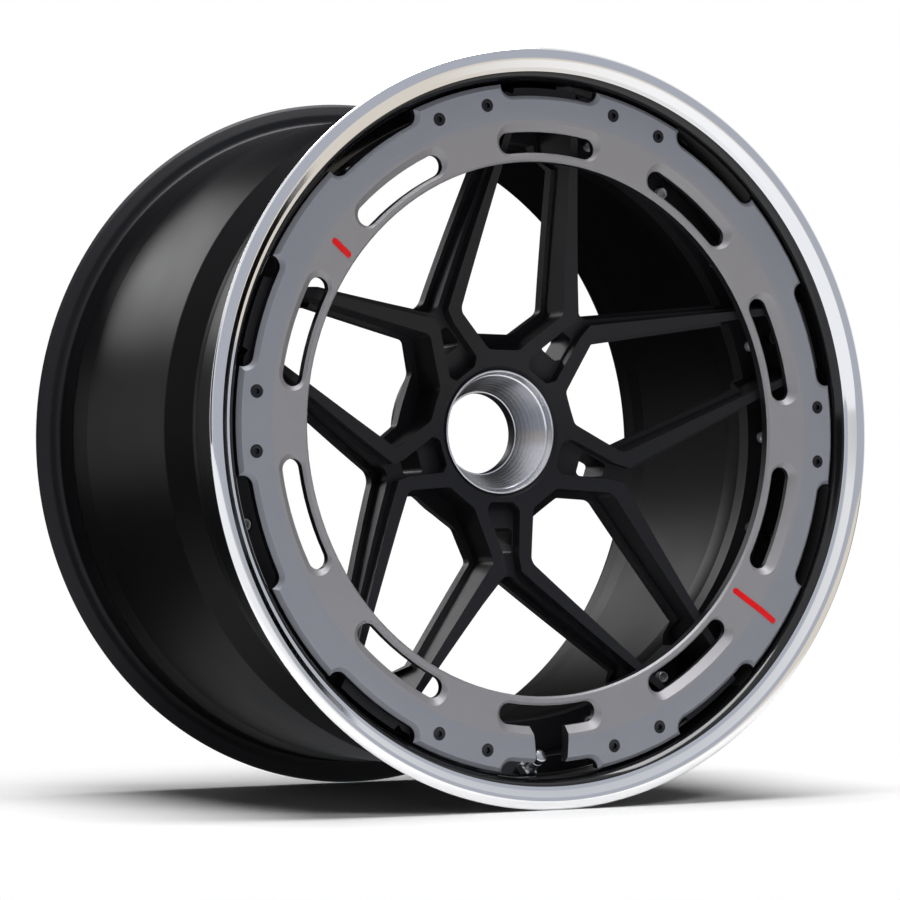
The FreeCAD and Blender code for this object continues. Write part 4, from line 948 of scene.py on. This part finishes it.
    def world(self):
        """White to the camera, a room with darker sides to reflections, and a faint light to all else."""
        world = bpy.data.worlds.new("studio")
        world.use_nodes = True
        tree = world.node_tree
        tree.nodes.clear()
        seen = add_node(tree, "ShaderNodeLightPath").outputs
        mirrored = add_node(tree, "ShaderNodeMath", {0: seen["Is Glossy Ray"], 1: seen["Is Transmission Ray"]},
                            operation="MAXIMUM").outputs["Value"]
        looked = add_node(tree, "ShaderNodeMath", {0: seen["Is Camera Ray"], 1: mirrored},
                          operation="MAXIMUM").outputs["Value"]
        aim = add_node(tree, "ShaderNodeTexCoord").outputs["Generated"]
        room = linear(self.ROOM)
        for side, shade, start, full in self.ROOM_SIDES:
            facing = add_node(tree, "ShaderNodeVectorMath", {0: aim, 1: side}, operation="DOT_PRODUCT")
            dim = add_node(tree, "ShaderNodeMapRange",
                           {"Value": facing.outputs["Value"], "From Min": start, "From Max": full},
                           interpolation_type="SMOOTHSTEP").outputs["Result"]
            room = add_node(tree, "ShaderNodeMix", {0: dim, MIX_A: room, MIX_B: linear(shade)},
                            data_type="RGBA").outputs[MIX_OUT]
        tint = add_node(tree, "ShaderNodeMix",
                        {0: seen["Is Camera Ray"], MIX_A: room, MIX_B: linear(self.WHITE)},
                        data_type="RGBA").outputs[MIX_OUT]
        soft = add_node(tree, "ShaderNodeBackground",
                        {"Color": linear(self.WHITE), "Strength": self.ROOM_LIGHT}).outputs["Background"]
        white = add_node(tree, "ShaderNodeBackground", {"Color": tint, "Strength": 1.0}).outputs["Background"]
        mix = add_node(tree, "ShaderNodeMixShader", {0: looked, 1: soft, 2: white})
        add_node(tree, "ShaderNodeOutputWorld", {"Surface": mix.outputs["Shader"]})
        bpy.context.scene.world = world

    def lamp(self, name, place, wide, high, power, mirrored, lighting):
        """A softbox, or a card that only shows in reflections, aimed at the wheel."""
        light = bpy.data.lights.new(name, "AREA")
        light.shape = "RECTANGLE"
        light.size = wide
        light.size_y = high
        light.energy = power
        lamp = bpy.data.objects.new(name, light)
        lamp.location = place
        lamp.rotation_euler = (-Vector(place)).to_track_quat("-Z", "Y").to_euler()
        lamp.visible_glossy = mirrored
        lamp.visible_diffuse = lighting
        bpy.context.scene.collection.objects.link(lamp)

    def camera(self):
        """The camera of the photograph."""
        lens = bpy.data.cameras.new("studio_camera")
        lens.lens = self.LENS
        lens.sensor_fit = "HORIZONTAL"
        lens.sensor_width = self.SENSOR
        lens.clip_end = self.FAR_CLIP
        camera = bpy.data.objects.new("studio_camera", lens)
        turn = Matrix((self.CAMERA_RIGHT, self.CAMERA_UP, self.CAMERA_BACK)).transposed().to_4x4()
        camera.matrix_world = Matrix.Translation(self.CAMERA_PLACE) @ turn
        bpy.context.scene.collection.objects.link(camera)
        bpy.context.scene.camera = camera


class WHEEL_PT_panel(bpy.types.Panel):
    """The wheel's sizes, colours and operators"""
    bl_idname = "WHEEL_PT_panel"
    bl_label = "Forged Wheel"
    bl_space_type = "VIEW_3D"
    bl_region_type = "UI"
    bl_category = "Wheel"

    def draw(self, context):
        layout = self.layout
        for group in (context.scene.wheel_sizes, context.scene.wheel_colours):
            box = layout.box()
            for field in group.__annotations__:
                box.prop(group, field)
        for piece in PIECES:
            layout.operator(piece.bl_idname)


PIECES = (
    WHEEL_OT_outer_lip,
    WHEEL_OT_inner_barrel,
    WHEEL_OT_spoke_centre,
    WHEEL_OT_face_ring,
    WHEEL_OT_lock_cone,
    WHEEL_OT_assembly_bolts,
    WHEEL_OT_grub_screws,
    WHEEL_OT_ring_screws,
    WHEEL_OT_accents,
    WHEEL_OT_valve,
    WHEEL_OT_small_finishes,
    WHEEL_OT_studio,
)
CLASSES = (WheelSizes, WheelColours) + PIECES + (WHEEL_PT_panel,)


def register():
    for made in CLASSES:
        bpy.utils.register_class(made)
    bpy.types.Scene.wheel_sizes = PointerProperty(type=WheelSizes)
    bpy.types.Scene.wheel_colours = PointerProperty(type=WheelColours)


def unregister():
    del bpy.types.Scene.wheel_colours
    del bpy.types.Scene.wheel_sizes
    for made in reversed(CLASSES):
        bpy.utils.unregister_class(made)


def main():
    register()
    for piece in PIECES:
        group, action = piece.bl_idname.split(".")
        getattr(getattr(bpy.ops, group), action)()


if __name__ == "__main__":
    main()
